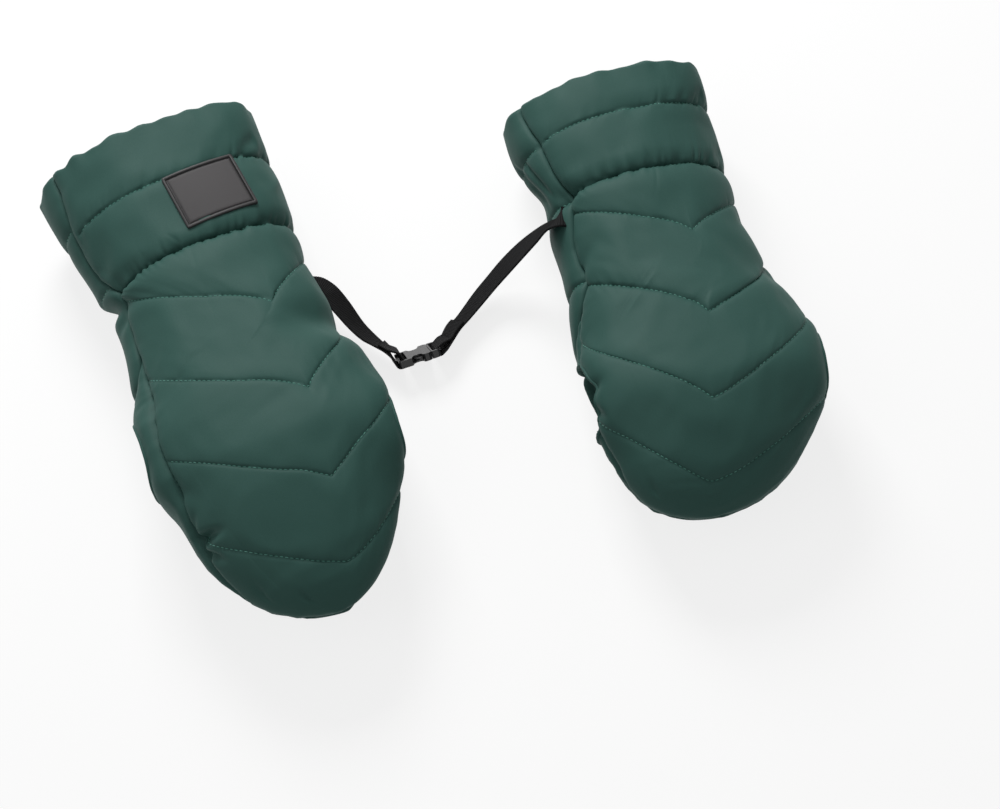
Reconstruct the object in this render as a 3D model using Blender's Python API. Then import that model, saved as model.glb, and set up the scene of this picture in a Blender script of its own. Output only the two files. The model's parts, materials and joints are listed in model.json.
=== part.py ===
"""A stroller hand muff: two quilted mitts for a push bar, tied together by a webbing strap with a
side-release buckle. The pair lies palms down on a surface. Metres, +Z up, +X along the push bar,
+Y towards the cuffs, and the origin under the middle of the pair of mitts."""

import bmesh
import bpy
from math import acos, asin, cos, pi, radians, sin
from mathutils import Matrix, Vector

# The push bar that both mitts go over, and the passage for it through their sides
BAR_DIAMETER = 0.040
BAR_HEIGHT = 0.0445
BAR_LINE_Y = -0.0595
SLOT_CLEARANCE = 0.008

# Each mitt's place is where the bar crosses its middle line. Widths are at the cuff, the wrist and
# the palm, and swings are the middle line's steps aside there and at the finger tip
LEFT_BAR_X = -0.1009
LEFT_TURN = radians(15.4)
LEFT_CUFF_BEHIND_BAR = 0.216
LEFT_TIP_BEFORE_BAR = 0.105
LEFT_WIDTHS = (0.132, 0.112, 0.137)
LEFT_SWINGS = (-0.002, 0.002, 0.001, 0.003)
RIGHT_BAR_X = 0.1511
RIGHT_TURN = radians(5.4)
RIGHT_CUFF_BEHIND_BAR = 0.206
RIGHT_TIP_BEFORE_BAR = 0.076
RIGHT_WIDTHS = (0.119, 0.106, 0.133)
RIGHT_SWINGS = (-0.0035, 0.001, 0.005, -0.009)

# Sizes that both mitts share
CUFF_THICKNESS = 0.082
WRIST_THICKNESS = 0.078
PALM_THICKNESS = 0.089
PALM_BEHIND_BAR = 0.012
WRIST_SHARE = 0.47

# The quilting
PUFF_HEIGHT = 0.005
FULL_PUFF_LENGTH = 0.030
SEAM_DRAW_WIDTH = 0.016
CHEVRON_RISE = 0.052
# Where each cross line of stitches meets the middle of the top panel, as shares of the mitt's length
LINE_SHARES = (0.122, 0.262, 0.437, 0.636, 0.811, 0.949)
# How far each line climbs to the side seams, as shares of the chevron's rise
RISE_SHARES = (0.0, 0.0, 0.9, 1.0, 1.0, 0.85)
# No line of stitches comes nearer than this to the hinge line under the push bar
LINE_TO_HINGE = 0.004

# The layers of the wall, from the outside in, and what closes or binds their edges
SHELL_WALL = 0.003
WADDING_WALL = 0.0035
LINING_WALL = 0.003
LAYER_GAP = 0.0003
TAPE_THICKNESS = 0.0015
TAPE_EDGE_INSET = 0.0006
TAPE_WIDTH = 0.009
TAPE_TO_SLOT = 0.004
BINDING_THICKNESS = 0.0015
BINDING_DEPTH = 0.020

# Angles round a mitt's section, from its right side over the top
REAR_SEAM_LIFT = radians(30)
PARTING_DROP = radians(6)
# The side seams run high up to the first of these distances behind the bar, then down to the second
SEAM_LEAVES_SIDE = 0.080
SEAM_MEETS_SLOT = 0.030
# The seams end in the parting over this distance each way from the bar line
SEAM_OPENS = 0.012

# Powers of the rounded outlines, where 2 is an ellipse and more is squarer, and of the puffs
SECTION_POWER = 2.25
PLAN_POWER = 2.15
NOSE_POWER = 2.6
PUFF_POWER = 0.7
SEAM_DRAW_POWER = 0.6

# The rubber patch on the left mitt, seen from above
PATCH_WIDTH = 0.045
PATCH_HEIGHT = 0.037
PATCH_THICKNESS = 0.0012
PATCH_RIM_WIDTH = 0.0022
PATCH_RIM_HEIGHT = 0.0008
PATCH_RIM_SLOPE = 0.0008
PATCH_ACROSS = 0.022
# The channel that it lies in the middle of, counted from the cuff
PATCH_CHANNEL = 1

# The side-release buckle: its place, then its sizes along its length from its centre
BUCKLE_CENTRE = (-0.0074, 0.0049, 0.0098)
BUCKLE_YAW = radians(12)
BUCKLE_ROLL = radians(48)
BUCKLE_WIDTH = 0.020
BUCKLE_THICKNESS = 0.005
SOCKET_BACK = 0.0145
SOCKET_MOUTH = 0.0060
SOCKET_DEPTH = 0.013
SOCKET_WALL = 0.00115
SOCKET_SIDE_WALL = 0.0018
PLUG_GAP = 0.0003
PLUG_LENGTH = 0.0067
PRONG_LENGTH = 0.0113
PRONG_CLEARANCE = 0.0003
TONGUE_LENGTH = 0.010
TONGUE_WIDTH = 0.0048
STRAP_BAR = 0.002
STRAP_SLOT_LENGTH = 0.0037
STRAP_SLOT_WIDTH = 0.016

# Outlines of the buckle's pieces: shares of the piece's length, then of half the buckle's width
SOCKET_OUTLINE_SHARES = (
    (0, 0.88), (0.03, 0.93), (0.395, 0.94), (0.43, 0.76), (0.47, 0.65), (0.53, 0.60), (0.64, 0.60),
    (0.69, 0.64), (0.725, 0.73), (0.76, 0.95), (0.80, 1), (0.92, 1), (1, 0.93),
)
PLUG_OUTLINE_SHARES = ((0, 0.93), (0.12, 0.96), (0.60, 0.94), (0.78, 0.86), (0.92, 0.68), (1, 0.45))
PRONG_OUTLINE_SHARES = (
    (0, 0.56), (0, 0.74), (0.50, 0.76), (0.505, 0.91), (0.68, 0.92), (0.85, 0.84), (1, 0.62), (1, 0.54),
    (0.9, 0.50), (0.5, 0.54),
)

# The straps: webbing from a mitt's seam to the buckle, round the bar there and back over itself
WEBBING_WIDTH = 0.015
WEBBING_THICKNESS = 0.0014
WEBBING_LOOP_RADIUS = 0.0025
TAIL_STANDS_OFF = 0.0020
TAIL_CLOSES_IN = 0.008
LEFT_TAIL_LENGTH = 0.012
RIGHT_TAIL_LENGTH = 0.020
LEFT_STRAP_LEAVES = radians(105)
RIGHT_STRAP_LEAVES = radians(29)
# Each row is a point on the strap's middle line, then the direction across the strap there
LEFT_STRAP_ROUTE = (
    (-0.0762, 0.0554, 0.0180, 0.27, -0.96, 0.00),
    (-0.0702, 0.0568, 0.0194, 0.10, -0.99, 0.08),
    (-0.0643, 0.0554, 0.0213, -0.35, -0.92, 0.17),
    (-0.0600, 0.0522, 0.0213, -0.62, -0.74, 0.26),
    (-0.0566, 0.0484, 0.0206, -0.75, -0.57, 0.33),
    (-0.0512, 0.0404, 0.0185, -0.72, -0.53, 0.45),
    (-0.0442, 0.0286, 0.0156, -0.60, -0.53, 0.60),
    (-0.0383, 0.0208, 0.0140, -0.47, -0.60, 0.65),
    (-0.0330, 0.0156, 0.0130, -0.36, -0.56, 0.75),
    (-0.0276, 0.0100, 0.0126, -0.12, -0.60, 0.79),
    (-0.0244, 0.0046, 0.0119, 0.13, -0.65, 0.74),
)
RIGHT_STRAP_ROUTE = (
    (0.0910, 0.0593, 0.0606, 0.15, -0.98, 0.00),
    (0.0880, 0.0588, 0.0615, -0.25, -0.93, 0.27),
    (0.0829, 0.0573, 0.0575, -0.60, -0.72, 0.35),
    (0.0749, 0.0582, 0.0450, -0.36, -0.89, 0.27),
    (0.0645, 0.0571, 0.0310, -0.05, -0.95, 0.30),
    (0.0538, 0.0520, 0.0220, 0.18, -0.90, 0.40),
    (0.0441, 0.0458, 0.0150, 0.29, -0.80, 0.52),
    (0.0352, 0.0384, 0.0115, 0.38, -0.72, 0.58),
    (0.0236, 0.0272, 0.0088, 0.46, -0.54, 0.70),
    (0.0165, 0.0204, 0.0088, 0.46, -0.53, 0.71),
    (0.0112, 0.0126, 0.0094, 0.32, -0.60, 0.73),
    (0.0088, 0.0081, 0.0096, 0.14, -0.65, 0.74),
)

# Points of the meshes: columns across each panel, and rows in each channel as shares of the way along
# it. The wall's inner surfaces take every second column and row
PANEL_COLUMNS = {"top": 16, "palm": 12, "flap": 12}
ROW_SHARES = (0, 0.15, 0.5, 0.85)
NOSE_ROW_SHARES = (0, 0.12, 0.25, 0.37, 0.5, 0.62, 0.75, 0.88)
PATCH_SPANS = 4
ROUTE_STEPS = 2
LOOP_STEPS = 6
OVERRUN = 0.001

SHELL_COLOUR = (0.031, 0.084, 0.074)
WADDING_COLOUR = (0.80, 0.80, 0.78)
LINING_COLOUR = (0.030, 0.031, 0.034)
TAPE_COLOUR = (0.010, 0.010, 0.011)
BINDING_COLOUR = (0.024, 0.060, 0.053)
PATCH_COLOUR = (0.070, 0.072, 0.072)
WEBBING_COLOUR = (0.012, 0.012, 0.013)
BUCKLE_COLOUR = (0.020, 0.020, 0.021)

SLOT_RADIUS = (BAR_DIAMETER + SLOT_CLEARANCE) / 2
WALL = SHELL_WALL + WADDING_WALL + LINING_WALL + 2 * LAYER_GAP
# The front halves of a mitt stand apart by the two tapes between them
HALF_PARTING = TAPE_THICKNESS + LAYER_GAP + LAYER_GAP / 2


class Mitt:
    """One mitt in its own frame: +y from the push bar to the cuff, x across, and z up from the surface."""

    def __init__(self, side, bar_x, turn, cuff_behind_bar, tip_before_bar, widths, swings):
        self.side = side
        self.turn = turn
        self.place = Matrix.Translation((bar_x, BAR_LINE_Y, 0)) @ Matrix.Rotation(turn, 4, "Z")
        self.cuff_y = cuff_behind_bar
        self.tip_y = -tip_before_bar
        self.palm_y = PALM_BEHIND_BAR
        self.length = self.cuff_y - self.tip_y
        self.wrist_y = self.palm_y + (self.cuff_y - self.palm_y) * WRIST_SHARE
        self.half_widths = [width / 2 for width in widths]
        self.half_heights = [CUFF_THICKNESS / 2, WRIST_THICKNESS / 2, PALM_THICKNESS / 2]
        self.swings = swings

    def between(self, y, sizes):
        """A size that runs smoothly from its value at the cuff to those at the wrist and the palm."""
        cuff, wrist, palm = sizes[:3]
        if y > self.wrist_y:
            return wrist + (cuff - wrist) * eased((y - self.wrist_y) / (self.cuff_y - self.wrist_y))
        return palm + (wrist - palm) * eased((y - self.palm_y) / (self.wrist_y - self.palm_y))

    def station(self, y):
        """The station along the mitt, 0 at the cuff, 1 at the widest palm and 2 at the finger tip."""
        if y >= self.palm_y:
            return (self.cuff_y - y) / (self.cuff_y - self.palm_y)
        reach = min(1, (self.palm_y - y) / (self.palm_y - self.tip_y))
        return 1 + asin(reach ** (PLAN_POWER / 2)) / (pi / 2)

    def y_at(self, station, inset=0):
        if station <= 1:
            return self.cuff_y + (self.palm_y - self.cuff_y) * station
        reach = sin((station - 1) * pi / 2) ** (2 / PLAN_POWER)
        return self.palm_y - (self.palm_y - self.tip_y - inset) * reach

    def point(self, station, angle, inset=0, puff=0):
        """A point of the mitt's surface, drawn in by inset or swollen by puff."""
        y = self.y_at(station, inset)
        closing = max(0, cos(max(0, station - 1) * pi / 2))
        widest_y = max(y, self.palm_y)
        half_width = (self.between(widest_y, self.half_widths) - inset) * closing ** (2 / PLAN_POWER)
        half_height = (self.between(widest_y, self.half_heights) - inset) * closing ** (2 / NOSE_POWER)
        middle_z = self.between(widest_y, self.half_heights)
        forward = max(0, self.palm_y - y) / (self.palm_y - self.tip_y)
        middle_x = self.between(widest_y, self.swings) + (self.swings[3] - self.swings[2]) * forward**2
        x = middle_x + (half_width + puff) * rounded(cos(angle))
        z = middle_z + (half_height + puff) * rounded(sin(angle))
        return Vector((x, y - puff * (station - 1 if station > 1 else 0), max(z, inset)))

    def angle_over(self, station, x):
        """The angle at which the upper half of the section at a station lies over x."""
        y = self.y_at(station)
        share = (x - self.between(y, self.swings)) / self.between(y, self.half_widths)
        return acos((1 if share > 0 else -1) * abs(share) ** (SECTION_POWER / 2))

    def seam_angles(self, y):
        """The angles of the right and the left edge of the top panel at y."""
        turned = eased((SEAM_LEAVES_SIDE - y) / (SEAM_LEAVES_SIDE - SEAM_MEETS_SLOT))
        lift = REAR_SEAM_LIFT - (REAR_SEAM_LIFT + PARTING_DROP) * turned
        return -lift, pi - lift


def eased(share):
    share = min(1, max(0, share))
    return share * share * (3 - 2 * share)


def rounded(value):
    """The rounded square's own sine or cosine."""
    return (1 if value > 0 else -1) * abs(value) ** (2 / SECTION_POWER)


LEFT = Mitt("left", LEFT_BAR_X, LEFT_TURN, LEFT_CUFF_BEHIND_BAR, LEFT_TIP_BEFORE_BAR, LEFT_WIDTHS, LEFT_SWINGS)
RIGHT = Mitt("right", RIGHT_BAR_X, RIGHT_TURN, RIGHT_CUFF_BEHIND_BAR, RIGHT_TIP_BEFORE_BAR, RIGHT_WIDTHS,
             RIGHT_SWINGS)

# The buckle's frame: +x along it to the right strap, -y its raised edge, and +z out of its face
BUCKLE = (Matrix.Translation(BUCKLE_CENTRE) @ Matrix.Rotation(BUCKLE_YAW, 4, "Z")
          @ Matrix.Rotation(-BUCKLE_ROLL, 4, "X"))

materials = {}


def material(name, colour, roughness, metallic=0.0):
    if name not in materials:
        made = bpy.data.materials.new(name)
        made.use_nodes = True
        shader = made.node_tree.nodes["Principled BSDF"]
        shader.inputs["Base Color"].default_value = (*colour, 1)
        shader.inputs["Roughness"].default_value = roughness
        shader.inputs["Metallic"].default_value = metallic
        made.diffuse_color = (*colour, 1)
        materials[name] = made
    return materials[name]


def new_object(name, mesh, finish, place=Matrix.Identity(4), origin=Vector((0, 0, 0))):
    """An object from a bmesh drawn in the frame of place, with its origin at a point of that frame."""
    bmesh.ops.recalc_face_normals(mesh, faces=mesh.faces)
    if mesh.calc_volume(signed=True) < 0:
        bmesh.ops.reverse_faces(mesh, faces=mesh.faces)
    bmesh.ops.translate(mesh, verts=mesh.verts, vec=-origin)
    data = bpy.data.meshes.new(name)
    mesh.to_mesh(data)
    mesh.free()
    data.materials.append(finish)
    data.shade_smooth()
    data.set_sharp_from_angle(angle=radians(40))
    made = bpy.data.objects.new(name, data)
    made.matrix_world = place @ Matrix.Translation(origin)
    bpy.context.collection.objects.link(made)
    return made


def helper(name, mesh, place=Matrix.Identity(4)):
    """A shape that only cuts or joins, and isn't a piece itself."""
    made = new_object(name, mesh, material("helper", (1, 0, 0), 0.5), place)
    made.hide_render = True
    made.display_type = "WIRE"
    return made


def combine(target, other, operation):
    modifier = target.modifiers.new(other.name, "BOOLEAN")
    modifier.object = other
    modifier.operation = operation
    modifier.solver = "EXACT"


def walled_sheet(outer, inner, tip=False):
    """A closed wall between two grids of points. The inner grid may hold only every second row and
    column of the outer one, and the last row may be one point, the finger tip."""
    mesh = bmesh.new()
    grids = []
    for points in (outer, inner):
        rows = [[mesh.verts.new(point) for point in row] for row in points]
        if tip:
            for vert in rows[-1][1:]:
                mesh.verts.remove(vert)
            rows[-1] = [rows[-1][0]] * len(rows[0])
        grids.append(rows)

    def face(*corners):
        corners = list(dict.fromkeys(corners))
        if len(corners) > 2:
            mesh.faces.new(corners)

    for grid in grids:
        for row, next_row in zip(grid, grid[1:]):
            for j in range(len(row) - 1):
                face(row[j], next_row[j], next_row[j + 1])
                face(row[j], next_row[j + 1], row[j + 1])
    outer_sides = [[row[0] for row in grids[0]], [row[-1] for row in grids[0]], grids[0][0]]
    inner_sides = [[row[0] for row in grids[1]], [row[-1] for row in grids[1]], grids[1][0]]
    if not tip:
        outer_sides.append(grids[0][-1])
        inner_sides.append(grids[1][-1])
    for outer_side, inner_side in zip(outer_sides, inner_sides):
        step = (len(outer_side) - 1) // (len(inner_side) - 1)
        for k in range(len(inner_side) - 1):
            run = outer_side[k * step : (k + 1) * step + 1]
            for first, second in zip(run, run[1:]):
                face(first, second, inner_side[k])
            face(run[-1], inner_side[k + 1], inner_side[k])
    return mesh


def swept_ring(sections, closed):
    """A solid through rings of points: closed round on itself, or open with its two ends filled."""
    mesh = bmesh.new()
    rings = [[mesh.verts.new(point) for point in section] for section in sections]
    pairs = list(zip(rings, rings[1:]))
    if closed:
        pairs.append((rings[-1], rings[0]))
    else:
        mesh.faces.new(rings[0])
        mesh.faces.new(rings[-1])
    for ring, next_ring in pairs:
        for k in range(len(ring)):
            mesh.faces.new((ring[k], next_ring[k], next_ring[k - 1], ring[k - 1]))
    return mesh


def plate(outline, low, high):
    """A flat plate from an outline in x and y, between two heights."""
    return swept_ring([[(x, y, z) for x, y in outline] for z in (low, high)], closed=False)


def line_ys(mitt, panel, across):
    """Where a panel's edges and stitch lines lie along the mitt, at a share of the way across it."""
    climb = abs(2 * across - 1) if panel == "top" else 1
    ys = [mitt.cuff_y - BINDING_THICKNESS - LAYER_GAP]
    for share, rise in zip(LINE_SHARES, RISE_SHARES):
        ys.append(mitt.cuff_y - mitt.length * share + CHEVRON_RISE * rise * climb)
    ys.append(mitt.tip_y)
    if panel == "palm":
        ys = [y for y in ys if y > LINE_TO_HINGE] + [LAYER_GAP]
    if panel == "flap":
        ys = [-LAYER_GAP] + [y for y in ys if y < -LINE_TO_HINGE]
    return ys


def row_places(mitt, panel, step=1):
    """The rows of points of a panel as channel numbers and shares along them, or every second one."""
    channels = len(line_ys(mitt, panel, 0)) - 1
    places = []
    for channel in range(channels):
        nose = panel != "palm" and channel == channels - 1
        places += [(channel, along) for along in (NOSE_ROW_SHARES if nose else ROW_SHARES)[::step]]
    return places + [(channels - 1, 1)]


def station_on(mitt, panel, channel, along, across):
    ys = line_ys(mitt, panel, across)
    start = mitt.station(ys[channel])
    return start + (mitt.station(ys[channel + 1]) - start) * along


def puff_of(mitt, panel, channel, along, across):
    """How far the filling stands out between two lines of stitches and two seams."""
    ys = line_ys(mitt, panel, across)
    y = mitt.y_at(station_on(mitt, panel, channel, along, across))
    round_half = mitt.between(max(y, mitt.palm_y), mitt.half_widths) * pi
    drawn = min(1, min(across, 1 - across) * round_half / SEAM_DRAW_WIDTH)
    full = min(1, (ys[channel] - ys[channel + 1]) / FULL_PUFF_LENGTH)
    return PUFF_HEIGHT * full * sin(pi * along) ** PUFF_POWER * drawn**SEAM_DRAW_POWER


def panel_point(mitt, panel, channel, along, across, inset, puffed):
    """A point of a panel, given its channel, the share along the channel and the share across the panel."""
    station = station_on(mitt, panel, channel, along, across)
    y = mitt.y_at(station)
    right, left = mitt.seam_angles(y)
    # Half of the gap between two panels that are sewn together, as an angle of the section
    aside = LAYER_GAP / mitt.half_heights[1] / 2
    if panel == "top":
        angle = right + aside + (left - right - 2 * aside) * across
    else:
        angle = left + aside + (right + 2 * pi - left - 2 * aside) * across
    puff = puff_of(mitt, panel, channel, along, across) if puffed else 0
    point = mitt.point(station, angle, inset, puff)
    apart = HALF_PARTING * eased((SEAM_OPENS - y) / (2 * SEAM_OPENS))
    point.z = point.z + apart if panel == "top" else max(inset, point.z - apart)
    return point


def panel_grid(mitt, panel, inset, puffed, step):
    columns = PANEL_COLUMNS[panel] // step
    return [[panel_point(mitt, panel, channel, along, j / columns, inset, puffed) for j in range(columns + 1)]
            for channel, along in row_places(mitt, panel, step)]


def slot_cutter(mitt):
    """The push bar's passage with its clearance: a round bar along X that cuts the side walls of a mitt."""
    mesh = bmesh.new()
    bmesh.ops.create_cone(mesh, cap_ends=True, segments=32, radius1=SLOT_RADIUS, radius2=SLOT_RADIUS,
                          depth=3 * max(mitt.half_widths))
    middle = Matrix.Translation((mitt.place.translation.x, BAR_LINE_Y, BAR_HEIGHT))
    bmesh.ops.transform(mesh, matrix=middle @ Matrix.Rotation(pi / 2, 4, "Y"), verts=mesh.verts)
    return helper(mitt.side + "_slot_cutter", mesh)


def build_layers(mitt, cutter):
    """The quilted shell, the wadding and the fleece lining of each panel, one inside the other."""
    wadding_inset = SHELL_WALL + LAYER_GAP
    lining_inset = wadding_inset + WADDING_WALL + LAYER_GAP
    layers = [
        ("shell", 0, SHELL_WALL, True, material("quilted_shell", SHELL_COLOUR, 0.55)),
        ("wadding", wadding_inset, WADDING_WALL, False, material("wadding", WADDING_COLOUR, 0.9)),
        ("lining", lining_inset, LINING_WALL, False, material("fleece_lining", LINING_COLOUR, 0.95)),
    ]
    for panel in ("top", "palm", "flap"):
        for layer, inset, wall, outside, finish in layers:
            outer = panel_grid(mitt, panel, inset, outside, 1 if outside else 2)
            inner = panel_grid(mitt, panel, inset + wall, False, 2)
            mesh = walled_sheet(outer, inner, tip=panel != "palm")
            made = new_object(f"{mitt.side}_{panel}_{layer}", mesh, finish, mitt.place)
            combine(made, cutter, "DIFFERENCE")


def tape_rows(mitt):
    """The stations and parting angles that a tape follows, from the bar round the finger tip and back."""
    sides = []
    for across, direction in ((0, 1), (1, -1)):
        stations = [station_on(mitt, "top", channel, along, across)
                    for channel, along in row_places(mitt, "top", 2)]
        # Where the bar's line leaves the mitt's side, then past the slot's edge and the end of the seam
        bar_y = -direction * max(mitt.half_widths) * sin(mitt.turn)
        start = mitt.station(min(bar_y - SLOT_RADIUS, -SEAM_OPENS) - TAPE_TO_SLOT)
        side = [start] + [station for station in stations if station > start]
        sides.append([(station, mitt.seam_angles(mitt.y_at(station))[across]) for station in side])
    return sides[0] + sides[1][-2::-1]


def build_tapes(mitt):
    """The loop tape under the top panel's front edge, and the hook tape on the flap's."""
    for name, low in (("loop_tape", LAYER_GAP / 2), ("hook_tape", -LAYER_GAP / 2 - TAPE_THICKNESS)):
        sections = []
        for station, angle in tape_rows(mitt):
            edges = [mitt.point(station, angle, TAPE_EDGE_INSET + across) for across in (0, TAPE_WIDTH)]
            section = [edge + Vector((0, 0, low)) for edge in edges]
            section += [edge + Vector((0, 0, low + TAPE_THICKNESS)) for edge in reversed(edges)]
            sections.append(section)
        new_object(f"{mitt.side}_{name}", swept_ring(sections, closed=False),
                   material("hook_and_loop_tape", TAPE_COLOUR, 0.9), mitt.place)


def build_binding(mitt):
    """The band that closes the cuff: over the ends of all layers, and down inside the lining."""
    right, left = mitt.seam_angles(mitt.cuff_y)
    angles = [right + (left - right) * j / PANEL_COLUMNS["top"] for j in range(PANEL_COLUMNS["top"])]
    angles += [left + (right + 2 * pi - left) * j / PANEL_COLUMNS["palm"] for j in range(PANEL_COLUMNS["palm"])]
    shoulder_y = mitt.cuff_y - BINDING_THICKNESS
    sleeve = WALL + LAYER_GAP
    profile = [(0, mitt.cuff_y), (0, shoulder_y), (sleeve, shoulder_y), (sleeve, mitt.cuff_y - BINDING_DEPTH),
               (sleeve + BINDING_THICKNESS, mitt.cuff_y - BINDING_DEPTH), (sleeve + BINDING_THICKNESS, mitt.cuff_y)]

    def ring_point(j, inset, y):
        if j % 2 and inset:
            # The lining is flat between every second column, and the sleeve lies against it
            return (ring_point(j - 1, inset, y) + ring_point((j + 1) % len(angles), inset, y)) / 2
        return mitt.point(mitt.station(y), angles[j], inset)

    sections = [[ring_point(j, inset, y) for inset, y in profile] for j in range(len(angles))]
    new_object(f"{mitt.side}_cuff_binding", swept_ring(sections, closed=True),
               material("binding", BINDING_COLOUR, 0.6), mitt.place)


def build_patch(mitt):
    """A bare rubber patch that lies over a puffed channel of the top panel, with a raised rim."""
    top_y, low_y = line_ys(mitt, "top", 0)[PATCH_CHANNEL : PATCH_CHANNEL + 2]
    middle_y = (top_y + low_y) / 2

    def lines(size):
        inner = PATCH_RIM_WIDTH + PATCH_RIM_SLOPE
        span = (size - 2 * inner) / PATCH_SPANS
        return [0, PATCH_RIM_WIDTH] + [inner + span * k for k in range(PATCH_SPANS + 1)] + [size - PATCH_RIM_WIDTH, size]

    def patch_point(across, down, lift):
        station = mitt.station(middle_y + PATCH_HEIGHT / 2 - down)
        angle = mitt.angle_over(station, PATCH_ACROSS - PATCH_WIDTH / 2 + across)
        right, left = mitt.seam_angles(mitt.y_at(station))
        along = (station - mitt.station(top_y)) / (mitt.station(low_y) - mitt.station(top_y))
        puff = puff_of(mitt, "top", PATCH_CHANNEL, min(1, max(0, along)), (angle - right) / (left - right))
        return mitt.point(station, angle, 0, puff + LAYER_GAP + lift)

    def lift(across, down):
        to_edge = min(across, PATCH_WIDTH - across, down, PATCH_HEIGHT - down)
        return PATCH_THICKNESS + (PATCH_RIM_HEIGHT if to_edge <= PATCH_RIM_WIDTH else 0)

    faces = [[patch_point(across, down, lift(across, down)) for across in lines(PATCH_WIDTH)]
             for down in lines(PATCH_HEIGHT)]
    backs = [[patch_point(across, down, 0) for across in lines(PATCH_WIDTH)] for down in lines(PATCH_HEIGHT)]
    new_object("rubber_patch", walled_sheet(faces, backs), material("rubber", PATCH_COLOUR, 0.5), mitt.place)


def buckle_outline(shares, start, length, sides=(1, -1)):
    """An outline in the buckle's plane, from its shares on one side and then back along the other."""
    half = BUCKLE_WIDTH / 2
    outline = []
    for side in sides:
        run = [(start + length * along, side * half * out) for along, out in shares]
        outline += run if side == sides[0] else run[::-1]
    return outline


def strap_slot(name, bar_outside, inward):
    """What is cut away round a strap bar: the slot beside it, and the room over and under it."""
    half = BUCKLE_THICKNESS / 2 + OVERRUN
    bar = STRAP_BAR / 2
    open_end = bar_outside - inward * OVERRUN
    inside = bar_outside + inward * STRAP_BAR
    far = inside + inward * STRAP_SLOT_LENGTH
    outline = [(open_end, -half), (far, -half), (far, half), (open_end, half),
               (open_end, bar), (inside, bar), (inside, -bar), (open_end, -bar)]
    mesh = plate(outline, -STRAP_SLOT_WIDTH / 2, STRAP_SLOT_WIDTH / 2)
    return helper(name, mesh, BUCKLE @ Matrix.Rotation(pi / 2, 4, "X"))


def build_buckle():
    """The socket on the left strap, and the plug with its two sprung prongs on the right strap."""
    finish = material("acetal", BUCKLE_COLOUR, 0.4)
    half = BUCKLE_THICKNESS / 2
    socket = new_object(
        "buckle_socket",
        plate(buckle_outline(SOCKET_OUTLINE_SHARES, -SOCKET_BACK, SOCKET_BACK + SOCKET_MOUTH), -half, half),
        finish, BUCKLE)
    inner_half = BUCKLE_WIDTH / 2 - SOCKET_SIDE_WALL
    pocket = [(SOCKET_MOUTH - SOCKET_DEPTH, -inner_half), (SOCKET_MOUTH + OVERRUN, -inner_half),
              (SOCKET_MOUTH + OVERRUN, inner_half), (SOCKET_MOUTH - SOCKET_DEPTH, inner_half)]
    room = half - SOCKET_WALL
    combine(socket, helper("socket_pocket", plate(pocket, -room, room), BUCKLE), "DIFFERENCE")
    combine(socket, strap_slot("socket_strap_slot", -SOCKET_BACK, 1), "DIFFERENCE")

    plug_start = SOCKET_MOUTH + PLUG_GAP
    plug = new_object("buckle_plug", plate(buckle_outline(PLUG_OUTLINE_SHARES, plug_start, PLUG_LENGTH), -half, half),
                      finish, BUCKLE)
    combine(plug, strap_slot("plug_strap_slot", plug_start + PLUG_LENGTH, -1), "DIFFERENCE")
    thin = room - PRONG_CLEARANCE
    tongue = [(plug_start - TONGUE_LENGTH, -TONGUE_WIDTH / 2), (plug_start + PLUG_GAP, -TONGUE_WIDTH / 2),
              (plug_start + PLUG_GAP, TONGUE_WIDTH / 2), (plug_start - TONGUE_LENGTH, TONGUE_WIDTH / 2)]
    combine(plug, helper("plug_tongue", plate(tongue, -thin, thin), BUCKLE), "UNION")

    for name, side in (("front_prong", -1), ("rear_prong", 1)):
        root_y = side * BUCKLE_WIDTH / 2 * (PRONG_OUTLINE_SHARES[0][1] + PRONG_OUTLINE_SHARES[1][1]) / 2
        outline = buckle_outline(PRONG_OUTLINE_SHARES, SOCKET_MOUTH, -PRONG_LENGTH, (side,))
        new_object(name, plate(outline, -thin, thin), finish, BUCKLE, Vector((SOCKET_MOUTH, root_y, 0)))


def through(rows, steps):
    """Points on a smooth curve through the rows, with a number of steps from each row to the next."""
    found = []
    for i in range(len(rows) - 1):
        before, start, end, after = (rows[min(max(i + k, 0), len(rows) - 1)] for k in (-1, 0, 1, 2))
        for k in range(steps):
            t = k / steps
            found.append([b + (c - a) * t / 2 + (2 * a - 5 * b + 4 * c - d) * t**2 / 2
                          + (3 * b - a - 3 * c + d) * t**3 / 2 for a, b, c, d in zip(before, start, end, after)])
    return found + [rows[-1]]


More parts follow.
